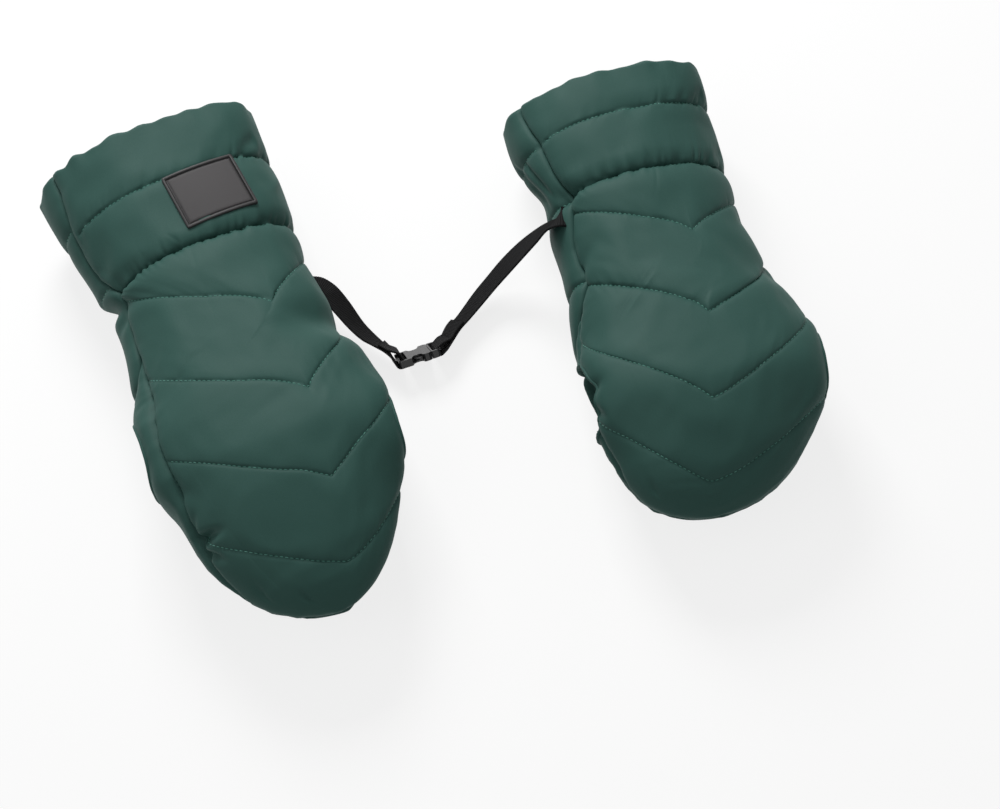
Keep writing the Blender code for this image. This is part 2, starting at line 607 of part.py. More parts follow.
def build_strap(name, route, bar_x, leaves, turns, tail_length):
    """Webbing along its route to a strap bar, round the bar and back over itself for the sewn tail."""
    stops = [(Vector(row[:3]), Vector(row[3:]).normalized()) for row in through(route, ROUTE_STEPS)]
    bar = BUCKLE @ Vector((bar_x, 0, 0))
    across = (BUCKLE.to_3x3() @ Vector((0, -1, 0))).normalized()
    loop = []
    for k in range(LOOP_STEPS + 1):
        angle = leaves + turns * (pi / 2 + pi * k / LOOP_STEPS)
        out = Vector((cos(angle), 0, sin(angle))) * WEBBING_LOOP_RADIUS
        loop.append((bar + BUCKLE.to_3x3() @ out, across))
    to_tail = loop[-1][0] - loop[0][0]
    tail = []
    covered = 0
    stop, side = loop[0][0], to_tail.normalized()
    for i in range(len(stops) - 1, 0, -1):
        covered += (stops[i][0] - stop).length
        if covered > tail_length:
            break
        stop = stops[i][0]
        normal = (stops[i][0] - stops[i - 1][0]).cross(stops[i][1]).normalized()
        if normal.dot(side) < 0:
            normal = -normal
        side = normal
        stand_off = TAIL_STANDS_OFF + (to_tail.length - TAIL_STANDS_OFF) * (1 - eased(covered / TAIL_CLOSES_IN))
        tail.append((stop + normal * stand_off, stops[i][1]))
    stops += loop + tail
    sections = []
    for i, (middle, width) in enumerate(stops):
        ahead = stops[min(i + 1, len(stops) - 1)][0] - stops[max(i - 1, 0)][0]
        thick = ahead.cross(width).normalized() * WEBBING_THICKNESS / 2
        wide = width * WEBBING_WIDTH / 2
        sections.append([middle - wide - thick, middle + wide - thick, middle + wide + thick, middle - wide + thick])
    new_object(name, swept_ring(sections, closed=False), material("webbing", WEBBING_COLOUR, 0.85))


for thing in list(bpy.data.objects):
    bpy.data.objects.remove(thing, do_unlink=True)

for mitt in (LEFT, RIGHT):
    build_layers(mitt, slot_cutter(mitt))
    build_tapes(mitt)
    build_binding(mitt)
build_patch(LEFT)
build_buckle()
build_strap("left_strap", LEFT_STRAP_ROUTE, -SOCKET_BACK + STRAP_BAR / 2, LEFT_STRAP_LEAVES, 1, LEFT_TAIL_LENGTH)
build_strap("right_strap", RIGHT_STRAP_ROUTE, SOCKET_MOUTH + PLUG_GAP + PLUG_LENGTH - STRAP_BAR / 2,
            RIGHT_STRAP_LEAVES, -1, RIGHT_TAIL_LENGTH)
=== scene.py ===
"""A stroller hand muff as it is put together: two quilted mitts lined with fleece, each with a passage
across it, and a webbing strap with a side-release buckle that ties them together. Metres, +Z up, +X along
the passages and +Y towards the cuffs."""

import json
from math import cos, pi, radians, sin

import bmesh
import bpy
import numpy as np
from mathutils import Matrix, Vector
from mathutils.bvhtree import BVHTree


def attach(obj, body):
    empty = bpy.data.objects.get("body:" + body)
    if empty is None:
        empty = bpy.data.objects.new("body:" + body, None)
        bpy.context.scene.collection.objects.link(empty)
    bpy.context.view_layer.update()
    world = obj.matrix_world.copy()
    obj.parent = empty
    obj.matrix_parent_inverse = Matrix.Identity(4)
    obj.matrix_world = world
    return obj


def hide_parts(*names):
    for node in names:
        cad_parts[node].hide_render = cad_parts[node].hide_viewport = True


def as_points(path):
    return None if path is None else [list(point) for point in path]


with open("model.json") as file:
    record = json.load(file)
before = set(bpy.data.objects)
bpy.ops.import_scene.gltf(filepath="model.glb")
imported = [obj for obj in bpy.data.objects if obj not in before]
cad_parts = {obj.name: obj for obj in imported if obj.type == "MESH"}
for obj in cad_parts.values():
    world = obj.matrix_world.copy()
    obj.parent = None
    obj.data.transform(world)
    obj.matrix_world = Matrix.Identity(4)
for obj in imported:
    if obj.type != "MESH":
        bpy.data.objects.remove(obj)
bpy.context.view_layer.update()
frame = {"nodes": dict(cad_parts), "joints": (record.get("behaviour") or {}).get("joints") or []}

# Camera
# It looks down over the finger tips from a little to the left, with the mitts spread across the frame.
CAMERA_AZIMUTH = radians(-8.6)
CAMERA_ELEVATION = radians(66)
CAMERA_DISTANCE = 1.1
CAMERA_TARGET = Vector((0.0341, -0.0527, 0.048))
LENS_MM = 67.3
SENSOR_MM = 36

camera_data = bpy.data.cameras.new("camera")
camera_data.lens = LENS_MM
camera_data.sensor_width = SENSOR_MM
camera = bpy.data.objects.new("camera", camera_data)
back = Vector((sin(CAMERA_AZIMUTH) * cos(CAMERA_ELEVATION), -cos(CAMERA_AZIMUTH) * cos(CAMERA_ELEVATION),
               sin(CAMERA_ELEVATION)))
camera.location = CAMERA_TARGET + back * CAMERA_DISTANCE
camera.rotation_mode = "QUATERNION"
camera.rotation_quaternion = (-back).to_track_quat("-Z", "Y")
bpy.context.collection.objects.link(camera)
bpy.context.scene.camera = camera

# Studio
# A pale floor under an even sky, with one wide soft lamp above and behind the cuffs, so that the cuffs
# are bright and the finger tips turn away into shade. The floor looks white, but throws little back.
FLOOR_SIZE = 8.0
FLOOR_COLOUR = "#b4b4b4"
FLOOR_GLOW = 0.80
FLOOR_SHADE = 0.22
SKY_LIGHT = 0.26
KEY_PLACE = Vector((-0.18, 1.00, 0.90))
KEY_SIZE = 0.55
KEY_WATTS = 15.5
FILL_PLACE = Vector((-1.1, -0.3, 1.5))
FILL_SIZE = 1.0
FILL_WATTS = 3


def linear(hex_colour):
    """A colour's linear values from its sRGB hex value."""
    parts = [int(hex_colour[k : k + 2], 16) / 255 for k in (1, 3, 5)]
    return [part / 12.92 if part <= 0.04045 else ((part + 0.055) / 1.055) ** 2.4 for part in parts] + [1]


def add_node(tree, kind, sockets=(), **settings):
    """Adds a shader node. A socket's value is a constant, or another node's output to link to it."""
    node = tree.nodes.new("ShaderNode" + kind)
    for name, value in settings.items():
        setattr(node, name, value)
    for name, value in dict(sockets).items():
        if isinstance(value, bpy.types.NodeSocket):
            tree.links.new(value, node.inputs[name])
        else:
            node.inputs[name].default_value = value
    return node


def new_finish(name):
    """A material with a plain Principled surface, as (material, its node tree, the surface)."""
    made = bpy.data.materials.new(name)
    made.use_nodes = True
    return made, made.node_tree, made.node_tree.nodes["Principled BSDF"]


def add_lamp(name, place, size, watts, target):
    """A soft square lamp that shines at a target."""
    data = bpy.data.lights.new(name, "AREA")
    data.size = size
    data.energy = watts
    lamp = bpy.data.objects.new(name, data)
    lamp.location = place
    lamp.rotation_mode = "QUATERNION"
    lamp.rotation_quaternion = (target - place).to_track_quat("-Z", "Y")
    bpy.context.collection.objects.link(lamp)


def looked_at(tree):
    """1 for the rays on which the background is looked at, and 0 for those that only carry light."""
    rays = add_node(tree, "LightPath")
    looks = add_node(tree, "Math", {0: rays.outputs["Is Camera Ray"], 1: rays.outputs["Is Glossy Ray"]},
                     operation="MAXIMUM")
    looks = add_node(tree, "Math", {0: looks.outputs[0], 1: rays.outputs["Is Transmission Ray"]},
                     operation="MAXIMUM")
    return looks.outputs[0]


bpy.context.scene.view_settings.view_transform = "Standard"
world = bpy.data.worlds.new("studio")
bpy.context.scene.world = world
world.use_nodes = True
tree = world.node_tree
strength = add_node(tree, "MapRange", {"Value": looked_at(tree), "To Min": SKY_LIGHT, "To Max": 1.0})
tree.nodes["Background"].inputs["Color"].default_value = (1, 1, 1, 1)
tree.links.new(strength.outputs[0], tree.nodes["Background"].inputs["Strength"])

# Matt paper: it shows as an even pale ground, keeps the soft shadows and throws little light back
paper, tree, surface = new_finish("studio_paper")
surface.inputs["Base Color"].default_value = linear(FLOOR_COLOUR)
surface.inputs["Roughness"].default_value = 0.9
surface.inputs["Specular IOR Level"].default_value = 0.0
shade = add_node(tree, "BsdfDiffuse", {"Color": (FLOOR_SHADE, FLOOR_SHADE, FLOOR_SHADE, 1)})
glow = add_node(tree, "Emission", {"Color": (1, 1, 1, 1), "Strength": FLOOR_GLOW})
seen = add_node(tree, "AddShader", {0: shade.outputs[0], 1: glow.outputs[0]})
both = add_node(tree, "MixShader", {0: looked_at(tree), 1: surface.outputs[0], 2: seen.outputs[0]})
tree.links.new(both.outputs[0], tree.nodes["Material Output"].inputs["Surface"])
bpy.ops.mesh.primitive_plane_add(size=FLOOR_SIZE, location=(0, 0, 0))
floor = bpy.context.object
floor.name = "floor"
floor.data.materials.append(paper)
add_lamp("key", KEY_PLACE, KEY_SIZE, KEY_WATTS, CAMERA_TARGET)
add_lamp("fill", FILL_PLACE, FILL_SIZE, FILL_WATTS, CAMERA_TARGET)

# Straps
# Two lengths of ribbed polyester webbing. Each is sewn into the inner side seam of a mitt, twists on its
# way down to the buckle, goes round the buckle's bar and is sewn back onto itself.
WEBBING_WIDTH = 0.015
WEBBING_THICKNESS = 0.0014
# The real ribs lie 0.7 mm apart; they are drawn at 1 mm so that they show
RIB_PITCH = 0.0010
RIB_HEIGHT = 0.00018
RIB_STEPS = 5
# One face of the webbing's section, as shares: the place across, the thickness and the height of the ribs
WEBBING_SECTION = ((-1, 0.15, 0.3), (-0.97, 0.8, 0.5), (-0.9, 1.0, 0.6), (-0.84, 0.85, 1), (-0.4, 0.85, 1),
                   (0, 0.85, 1), (0.4, 0.85, 1), (0.84, 0.85, 1), (0.9, 1.0, 0.6), (0.97, 0.8, 0.5),
                   (1, 0.15, 0.3))
SEWN_IN = 0.005
ROUTE_STEPS = 8
LOOP_RADIUS = 0.0025
LOOP_STEPS = 16
LOOP_SPLIT = 4
TAIL_STANDS_OFF = 0.0015
TAIL_CLOSES_IN = 0.007
TAIL_STEP = 0.001
LEFT_TAIL_LENGTH = 0.012
RIGHT_TAIL_LENGTH = 0.020
# Each row is a point on the strap's middle line, then the direction across the strap there
LEFT_STRAP_ROUTE = (
    (-0.0762, 0.0554, 0.0180, 0.27, -0.96, 0.00),
    (-0.0702, 0.0568, 0.0194, 0.10, -0.99, 0.08),
    (-0.0643, 0.0554, 0.0213, -0.35, -0.92, 0.17),
    (-0.0600, 0.0522, 0.0213, -0.62, -0.74, 0.26),
    (-0.0566, 0.0484, 0.0206, -0.75, -0.57, 0.33),
    (-0.0512, 0.0404, 0.0185, -0.72, -0.53, 0.45),
    (-0.0442, 0.0286, 0.0156, -0.60, -0.53, 0.60),
    (-0.0383, 0.0208, 0.0140, -0.47, -0.60, 0.65),
    (-0.0330, 0.0156, 0.0130, -0.36, -0.56, 0.75),
    (-0.0276, 0.0100, 0.0126, -0.12, -0.60, 0.79),
    (-0.0244, 0.0046, 0.0119, 0.13, -0.65, 0.74),
)
RIGHT_STRAP_ROUTE = (
    (0.0910, 0.0593, 0.0606, 0.15, -0.98, 0.00),
    (0.0880, 0.0588, 0.0615, -0.25, -0.93, 0.27),
    (0.0829, 0.0573, 0.0575, -0.60, -0.72, 0.35),
    (0.0749, 0.0582, 0.0450, -0.36, -0.89, 0.27),
    (0.0645, 0.0571, 0.0310, -0.05, -0.95, 0.30),
    (0.0538, 0.0520, 0.0220, 0.18, -0.90, 0.40),
    (0.0441, 0.0458, 0.0150, 0.29, -0.80, 0.52),
    (0.0352, 0.0384, 0.0115, 0.38, -0.72, 0.58),
    (0.0236, 0.0272, 0.0088, 0.46, -0.54, 0.70),
    (0.0165, 0.0204, 0.0088, 0.46, -0.53, 0.71),
    (0.0112, 0.0126, 0.0094, 0.32, -0.60, 0.73),
    (0.0088, 0.0081, 0.0096, 0.14, -0.65, 0.74),
)
# The buckle's frame: +x along it to the right strap, -y its raised edge, and +z out of its face
BUCKLE = (Matrix.Translation((-0.0074, 0.0049, 0.0098)) @ Matrix.Rotation(radians(12), 4, "Z")
          @ Matrix.Rotation(-radians(48), 4, "X"))
LEFT_BAR_X = -0.0135
RIGHT_BAR_X = 0.0120
LEFT_STRAP_LEAVES = radians(105)
RIGHT_STRAP_LEAVES = radians(29)
YARN_SIZE = 0.0006


def eased(share):
    """A share from 0 to 1 that starts and ends softly."""
    share = np.clip(share, 0, 1)
    return share * share * (3 - 2 * share)


def unit(rows):
    """Directions, each made one long."""
    return rows / np.maximum(np.linalg.norm(rows, axis=-1, keepdims=True), 1e-9)


def mesh_piece(name, points, faces, finish, place=Matrix.Identity(4), uv=None, sharp=radians(60)):
    """A mesh object from points in the frame of place. uv gives each point's place on the flat cloth."""
    data = bpy.data.meshes.new(name)
    data.from_pydata(np.asarray(points).tolist(), [], [list(face) for face in faces])
    if uv is not None:
        corners = np.empty(len(data.loops), dtype=np.int32)
        data.loops.foreach_get("vertex_index", corners)
        layer = data.uv_layers.new(name="cloth")
        layer.uv.foreach_set("vector", np.asarray(uv, dtype=np.float32)[corners].ravel())
    data.materials.append(finish)
    data.transform(place)
    data.shade_smooth()
    data.set_sharp_from_angle(angle=sharp)
    made = bpy.data.objects.new(name, data)
    bpy.context.collection.objects.link(made)
    return made


def through(rows, steps):
    """Points on a smooth curve through the rows, with a number of steps from each row to the next."""
    found = []
    for i in range(len(rows) - 1):
        before, start, end, after = (np.array(rows[min(max(i + k, 0), len(rows) - 1)]) for k in (-1, 0, 1, 2))
        for k in range(steps):
            t = k / steps
            found.append(start + (end - before) * t / 2
                         + (2 * before - 5 * start + 4 * end - after) * t**2 / 2
                         + (3 * start - before - 3 * end + after) * t**3 / 2)
    return found + [np.array(rows[-1])]


def tube_faces(rings, sides):
    """The faces between rings of points that follow each other."""
    corner = np.arange(rings - 1)[:, None] * sides + np.arange(sides)
    after = np.arange(rings - 1)[:, None] * sides + (np.arange(sides) + 1) % sides
    return np.stack([corner, after, after + sides, corner + sides], -1).reshape(-1, 4)


def lengths_along(points):
    """How far along its line each point lies."""
    return np.concatenate([[0], np.cumsum(np.linalg.norm(np.diff(points, axis=0), axis=1))])


def at_lengths(places, reach, rows):
    """The rows of a line, read at places along it."""
    return np.stack([np.interp(places, reach, column) for column in np.transpose(rows)], axis=-1)


def webbing_piece(name, stops, finish):
    """Ribbed webbing along stops: ribs run across both faces, and its two edges are rounded."""
    stops = np.array(stops)
    reach = lengths_along(stops[:, :3])
    even = np.linspace(0, reach[-1], int(round(reach[-1] / RIB_PITCH * RIB_STEPS)) + 1)
    stops = at_lengths(even, reach, stops)
    middle, width = stops[:, :3], unit(stops[:, 3:])
    thick = unit(np.cross(np.gradient(middle, axis=0), width))
    rib = RIB_HEIGHT * np.cos(2 * pi * even / RIB_PITCH)
    ring = []
    for face in (1, -1):
        for share, swell, ribbed in WEBBING_SECTION[::face]:
            out = face * (WEBBING_THICKNESS / 2 * swell + rib * ribbed)
            ring.append(middle + width * (share * WEBBING_WIDTH / 2) + thick * out[:, None])
    points = np.stack(ring, axis=1)
    rows, columns = points.shape[:2]
    sides = tube_faces(rows, columns).tolist()
    caps = [list(range(columns))[::-1], [(rows - 1) * columns + k for k in range(columns)]]
    made = mesh_piece(name, points.reshape(-1, 3), sides + caps, finish)
    return made, middle


def strap(name, route, bar_x, leaves, turns, tail_length, body, finish):
    """A strap's free length, its end that goes round the buckle's bar and is sewn down, and its path."""
    stops = through(route, ROUTE_STEPS)
    inward = unit(stops[0][:3] - stops[1][:3]) * SEWN_IN
    sewn = [np.concatenate([stops[0][:3] + inward, stops[0][3:]])]
    bar = BUCKLE @ Vector((bar_x, 0, 0))
    across = np.array(BUCKLE.to_3x3() @ Vector((0, -1, 0)))
    loop = []
    for k in range(LOOP_STEPS + 1):
        angle = leaves + turns * (pi / 2 + pi * k / LOOP_STEPS)
        out = BUCKLE.to_3x3() @ Vector((cos(angle), 0, sin(angle))) * LOOP_RADIUS
        loop.append(np.concatenate([np.array(bar + out), across]))
    free, path = webbing_piece(name + "_webbing", sewn + stops + loop[:LOOP_SPLIT + 1], finish)
    to_tail = loop[-1][:3] - loop[0][:3]
    apart = np.linalg.norm(to_tail)
    side = to_tail / apart
    back_way = np.array(stops[::-1])
    reach = lengths_along(back_way[:, :3])
    tail = []
    for distance in np.arange(TAIL_STEP, tail_length, TAIL_STEP):
        here, before = at_lengths([distance, distance + TAIL_STEP], reach, back_way)
        normal = unit(np.cross(here[:3] - before[:3], here[3:]))
        side = normal if normal @ side > 0 else -normal
        stand_off = TAIL_STANDS_OFF + (apart - TAIL_STANDS_OFF) * (1 - eased(distance / TAIL_CLOSES_IN))
        tail.append(np.concatenate([here[:3] + side * stand_off, here[3:]]))
    end, _ = webbing_piece(name + "_sewn_end", loop[LOOP_SPLIT:] + tail, finish)
    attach(free, body)
    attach(end, body)
    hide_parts(name)
    return free, end, path


# Polyester webbing with ribs across: matte, nearly black yarn, with a painted highlight on top of each rib
webbing_finish, tree, surface = new_finish("ribbed_polyester_webbing")
geometry = add_node(tree, "NewGeometry")
yarn = add_node(tree, "TexNoise", {"Scale": 1 / YARN_SIZE, "Detail": 3.0})
# Painted highlight: the convex rib tops and edges get the paler colour, as if they caught the light
rib_top_highlight = add_node(tree, "ValToRGB", {"Fac": geometry.outputs["Pointiness"]})
rib_top_highlight.color_ramp.elements[0].position = 0.47
rib_top_highlight.color_ramp.elements[0].color = linear("#0c0c0d")
rib_top_highlight.color_ramp.elements[1].position = 0.56
rib_top_highlight.color_ramp.elements[1].color = linear("#232324")
bump = add_node(tree, "Bump", {"Strength": 0.35, "Distance": 0.0002, "Height": yarn.outputs["Fac"]})
tree.links.new(rib_top_highlight.outputs["Color"], surface.inputs["Base Color"])
tree.links.new(bump.outputs[0], surface.inputs["Normal"])
surface.inputs["Roughness"].default_value = 0.75
surface.inputs["Specular IOR Level"].default_value = 0.12

left_strap, left_sewn_end, left_path = strap(
    "left_strap", LEFT_STRAP_ROUTE, LEFT_BAR_X, LEFT_STRAP_LEAVES, 1, LEFT_TAIL_LENGTH, "left_half",
    webbing_finish)
right_strap, right_sewn_end, right_path = strap(
    "right_strap", RIGHT_STRAP_ROUTE, RIGHT_BAR_X, RIGHT_STRAP_LEAVES, -1, RIGHT_TAIL_LENGTH, "right_half",
    webbing_finish)

# Buckle
# A side-release buckle for 15 mm webbing, moulded in acetal: a socket on the left strap, and a plug with
# two sprung prongs on the right one. The mould rounds its edges.
BUCKLE_BEVEL = 0.0004
BUCKLE_BEVEL_FROM = radians(35)
BUCKLE_WELD = 0.00001
ACETAL_GRAIN = 0.0005

# Moulded acetal: dark and half matte, with a fine spark-eroded grain that blurs its highlights
acetal, tree, surface = new_finish("moulded_acetal")
grain = add_node(tree, "TexNoise", {"Scale": 1 / ACETAL_GRAIN, "Detail": 2.0})
bump = add_node(tree, "Bump", {"Strength": 0.2, "Distance": 0.0001, "Height": grain.outputs["Fac"]})
tree.links.new(bump.outputs[0], surface.inputs["Normal"])
surface.inputs["Base Color"].default_value = linear("#242425")
surface.inputs["Roughness"].default_value = 0.30
surface.inputs["IOR"].default_value = 1.48
for node_name in ("buckle_socket", "buckle_plug", "front_prong", "rear_prong"):
    node = frame["nodes"][node_name]
    node.data.materials.clear()
    node.data.materials.append(acetal)
    weld = node.modifiers.new("weld", "WELD")
    weld.merge_threshold = BUCKLE_WELD
    bevel = node.modifiers.new("moulded_edges", "BEVEL")
    bevel.width = BUCKLE_BEVEL
    bevel.segments = 3
    bevel.limit_method = "ANGLE"
    bevel.angle_limit = BUCKLE_BEVEL_FROM

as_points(left_path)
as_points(right_path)

# Quilted shells
# Woven polyester over wadding, quilted with cross lines of stitches that run down to a chevron on the
# back of the hand. The top, the palm and the flap in front of the passage are cut apart and sewn up.
# Powers of the rounded squares that shape a mitt: round its section, along its plan and over its finger tip
SECTION_POWER = 2.25
PLAN_POWER = 2.15
NOSE_POWER = 2.6
# The top panel and the flap round the tip more, from this share of its half height and over this share
UPPER_NOSE_POWER = 1.5
LOWER_NOSE_POWER = 1.25
NOSE_FROM = 0.134
NOSE_OVER = 0.4
# How much the cuff is pressed to an edge on its left and squared on its right, how fast one turns into the
# other across it, and the share of the half height under which its right side isn't squared
CUFF_PRESSED = 0.2
CUFF_SQUARED = 1.3
CUFF_TURNS = 2.5
CUFF_SQUARE_FROM = -0.6
CUFF_PRESSED_DEPTH = 0.045
# How thick a mitt is, where its palm is widest, and how far from there to the cuff its wrist lies
CUFF_THICKNESS = 0.082
WRIST_THICKNESS = 0.078
PALM_THICKNESS = 0.0845
PALM_BEHIND_PASSAGE = 0.012
WRIST_SHARE = 0.47
PASSAGE_HEIGHT = 0.0445
PASSAGE_RADIUS = 0.024
WALL = 0.0101
# In front of the passage the top panel and the flap part, each by this much
PARTING = 0.00195
PARTING_OPENS = 0.012
HINGE_GAP = 0.0003
BINDING_THICKNESS = 0.0015
# Behind the passage the top panel is turned down the right side by the first angle, and in front of it by
# the second one the other way. It changes over between the two places
SEAM_LIFT = radians(30)
PARTING_DROP = radians(6)
SEAM_LEAVES_SIDE = 0.080
SEAM_MEETS_PASSAGE = 0.030
# How far the cloth stands out where it is full, and how far it is drawn in at a side seam and in front
FULL_HEIGHT = 0.0050
SEAM_DEPTH = 0.0028
PARTING_DEPTH = 0.0044
SEAM_DRAW_WIDTH = 0.013
FLAP_FULLNESS = 0.5
FLAP_FLATTENS = 0.030
PASSAGE_DRAPE = 0.0055
PASSAGE_DRAW = 0.0030
PASSAGE_DRAPE_WIDTH = 0.012
CREASE_DEPTH = 0.0036
CREASE_WIDTH = 0.008
# The crease shows from this far behind the seam's turn, and over this distance. Its angles span more cloth
# than on a round section by a factor, and the back of the hand blends into the side band over some degrees
CREASE_STARTS = 0.012
CREASE_FADES = 0.025
CREASE_STRETCH = 1.3
CREASE_BLEND = 4
# The sharp groove that stitches pull, as depth and half width: at a seam, a line of stitches and the crease
SEAM_GROOVE = (0.0010, 0.0014)
LINE_GROOVE = (0.00035, 0.0009)
CREASE_GROOVE = (0.0016, 0.0012)
# How far a line's channel reaches towards the cuff and towards the tip, at most
CHANNEL_REACH = (0.012, 0.018)
# How far its gathers reach each way, and how much of them is broad each way, beside this much of sharp ones
CRIMP_REACH = (0.0050, 0.0026)
CRIMP_BROAD = (0.7, 0.3)
CRIMP_SHARP = 0.7
# How high the gathers of the side seams stand behind the passage, how much more before it, and their reach
SEAM_GATHERS = (0.0003, 0.0009)
SEAM_GATHER_REACH = 0.007
CREASE_GATHERS = 0.0007
CREASE_GATHER_REACH = 0.006
# The filling's unevenness in broad waves and in dimples, and the share of it that the under side has
WAVE_HEIGHT = 0.0004
DIMPLE_HEIGHT = 0.0002
UNDER_UNEVEN = 0.6
# How long and how wide each kind of gather, wave and dimple is
SEAM_GATHER_SIZE = (0.0055, 0.030)
CRIMP_SIZE = (0.0044, 0.020)
BROAD_CRIMP_SIZE = (0.0075, 0.030)
CREASE_GATHER_SIZE = (0.006, 0.020)
WAVE_SIZE = (0.032, 0.026)
DIMPLE_SIZE = (0.009, 0.011)
TOP_SPACING = 0.0010
UNDER_SPACING = 0.0018
# How far each cuff and each finger tip lies from the passage's axis, how wide the mitt is at the cuff, the
# wrist and the palm, how far its middle line swings out at these and at the tip, and its random seed
LEFT_CUFF_BEHIND = 0.2135
LEFT_TIP_BEFORE = 0.105
LEFT_WIDTHS = (0.132, 0.112, 0.137)
LEFT_SWINGS = (-0.002, 0.002, 0.001, 0.003)
LEFT_SEED = 100
RIGHT_CUFF_BEHIND = 0.2040
RIGHT_TIP_BEFORE = 0.076
RIGHT_WIDTHS = (0.119, 0.106, 0.133)
RIGHT_SWINGS = (-0.0035, 0.001, 0.005, -0.009)
RIGHT_SEED = 300
# Each line of stitches on the top panel: the angle and the place of its point, then the angle, place and
# curve of its left end, and those of its right end. Angles go round the section from the right side over
# the top in degrees, and places are in millimetres from the passage's axis towards the cuff
LEFT_LINES = (
    ((75, 174), (150, 169, 1.6), (-30, 187, 1.6)),
    ((75, 127.5), (150, 123, 1.6), (-30, 134, 1.6)),
    ((64, 72), (150, 118, 0.87), (-20, 118, 0.7)),
    ((69, 9), (148, 62, 0.85), (-10, 62, 0.73)),
    ((74, -44), (150, 11, 1.0), (-6, 16, 1.0)),
    ((79, -87), (150, -47, 1.35), (6, -51, 1.5)),
)
RIGHT_LINES = (
    ((85, 175), (150, 171, 2.0), (-30, 183, 2.0)),
    ((85, 134.5), (150, 132, 2.0), (-30, 137, 2.0)),
    ((74, 86), (150, 125, 0.72), (-30, 125, 0.73)),
    ((86, 29), (154, 76, 0.55), (-6, 76, 1.0)),
    ((93, -23), (168, 45, 0.85), (-2, 42, 1.15)),
    ((98, -63), (167, -4, 1.35), (6, -14, 1.8)),
)
# How deep each of these lines draws the cloth in, at its left and its right end, in millimetres
LEFT_DEPTHS = ((1.0, 3.6), (4.6, 4.8), (1.0, 2.0), (0.8, 1.6), (0.7, 1.4), (1.0, 1.1))
RIGHT_DEPTHS = ((1.0, 3.7), (4.4, 5.0), (1.4, 2.4), (2.6, 2.0), (0.9, 1.5), (0.7, 1.3))
# How high its gathers are
LEFT_GATHERS = ((0.4, 1.7), (1.8, 1.7), (0.25, 0.5), (0.2, 0.4), (0.15, 0.3), (0.4, 0.25))
RIGHT_GATHERS = ((0.4, 1.7), (1.6, 1.9), (0.3, 0.5), (0.5, 0.4), (0.2, 0.3), (0.2, 0.3))
# Where the lines of the palm and the flap lie
LEFT_UNDER_LINES = (177, 132, 62, -46)
RIGHT_UNDER_LINES = (172, 132, 79, 29, -18)
UNDER_DEPTHS = (2.4, 2.4)
UNDER_GATHERS = (0.4, 0.4)
# How far the left side seam strays from its straight way, as places and degrees
LEFT_SEAM_SHIFT = ((216, -5), (198, -4), (171, 6), (154, 10), (139, 9), (124, -2), (105, 0), (90, 0))
RIGHT_SEAM_SHIFT = ((206, 0), (198, 0), (175, -6), (148, -7), (131, -10), (117, -5), (101, 2), (90, 2),
                    (80, 0))
# The seam that goes on along the left side in front of the wrist, as places and angles
LEFT_CREASE = ((90, 150), (62, 146), (44, 142), (26, 140), (9, 141), (-5, 143), (-18, 147), (-29, 152),
               (-40, 159), (-60, 165), (-78, 174), (-96, 190))
RIGHT_CREASE = ((90, 150), (76, 154), (45, 166), (-4, 166), (-40, 172), (-66, 190))
# Folds of the slack cloth: place and angle of both ends, depth and half width in millimetres. Each starts
# a little before its first end and fades out to its second one, over these shares of its length
FOLD_STARTS_BEFORE = 0.15
FOLD_FADES_IN = 0.3
FOLD_FADES_OUT = 0.75
LEFT_FOLDS = (
    (-42, 160, -46, 127, 5.5, 2.8),
    (-49, 162, -60, 141, 4.0, 2.6),
    (-38, 156, -26, 138, 1.6, 2.6),
    (126, 146, 131, 112, 2.0, 6.0),
    (137, 150, 160, 128, 1.2, 7.0),
    (108, 152, 104, 172, 2.6, 5.0),
    (188, 28, 178, 50, 1.3, 4.0),
    (163, 14, 146, 36, -1.0, 3.5),
    (52, 147, 20, 132, 1.0, 6.0),
    (-12, 146, -30, 128, 1.2, 6.0),
    (-86, 150, -74, 138, 1.2, 3.0),
    (-97, 120, -88, 116, 1.2, 3.0),
    (139, 240, 104, 110, 9.0, 5.5),
    (131, 200, 128, 158, -2.5, 8.0),
    (150, 60, 150, -60, -3.0, 36.0),
    (-80, -50, -80, 80, 8.5, 38.0),
    (-80, 300, -80, 520, 8.5, 38.0),
    (-42, -45, -42, 45, 3.0, 7.0),
    (-30, 215, -30, 145, 4.5, 16.0),
    (55, 60, 55, -90, 6.5, 13.0),
)
RIGHT_FOLDS = (
    (80, 157, 102, 122, 1.9, 5.5),
    (134, 150, 137, 124, 2.6, 6.0),
    (131, 152, 150, 140, 1.6, 6.0),
    (3, 172, 8, 138, 6.0, 3.8),
    (-2, 164, -16, 146, 3.0, 4.0),
    (184, 28, 176, 44, 1.2, 4.0),
    (148, 18, 134, 40, 1.4, 4.5),
    (104, 12, 86, 40, 1.2, 5.0),
    (60, 14, 44, 40, 1.0, 5.0),
    (-60, 150, -52, 140, 1.0, 3.0),
    (162, 232, 128, 122, 7.5, 15.0),
    (170, 166, 132, 151, 3.0, 2.4),
    (178, 184, 126, 160, 2.6, 3.0),
    (62, 60, 42, -60, 3.0, 15.0),
)
# A line of stitches goes on past its end by this much, and its place is found in this many trials
LINE_RUNS_ON = 1.4
LINE_TRIALS = 40
CRUMPLE_CELLS = 256


def rounded(value, power=SECTION_POWER):
    """The rounded square's own sine or cosine."""
    return np.sign(value) * np.abs(value) ** (2 / power)


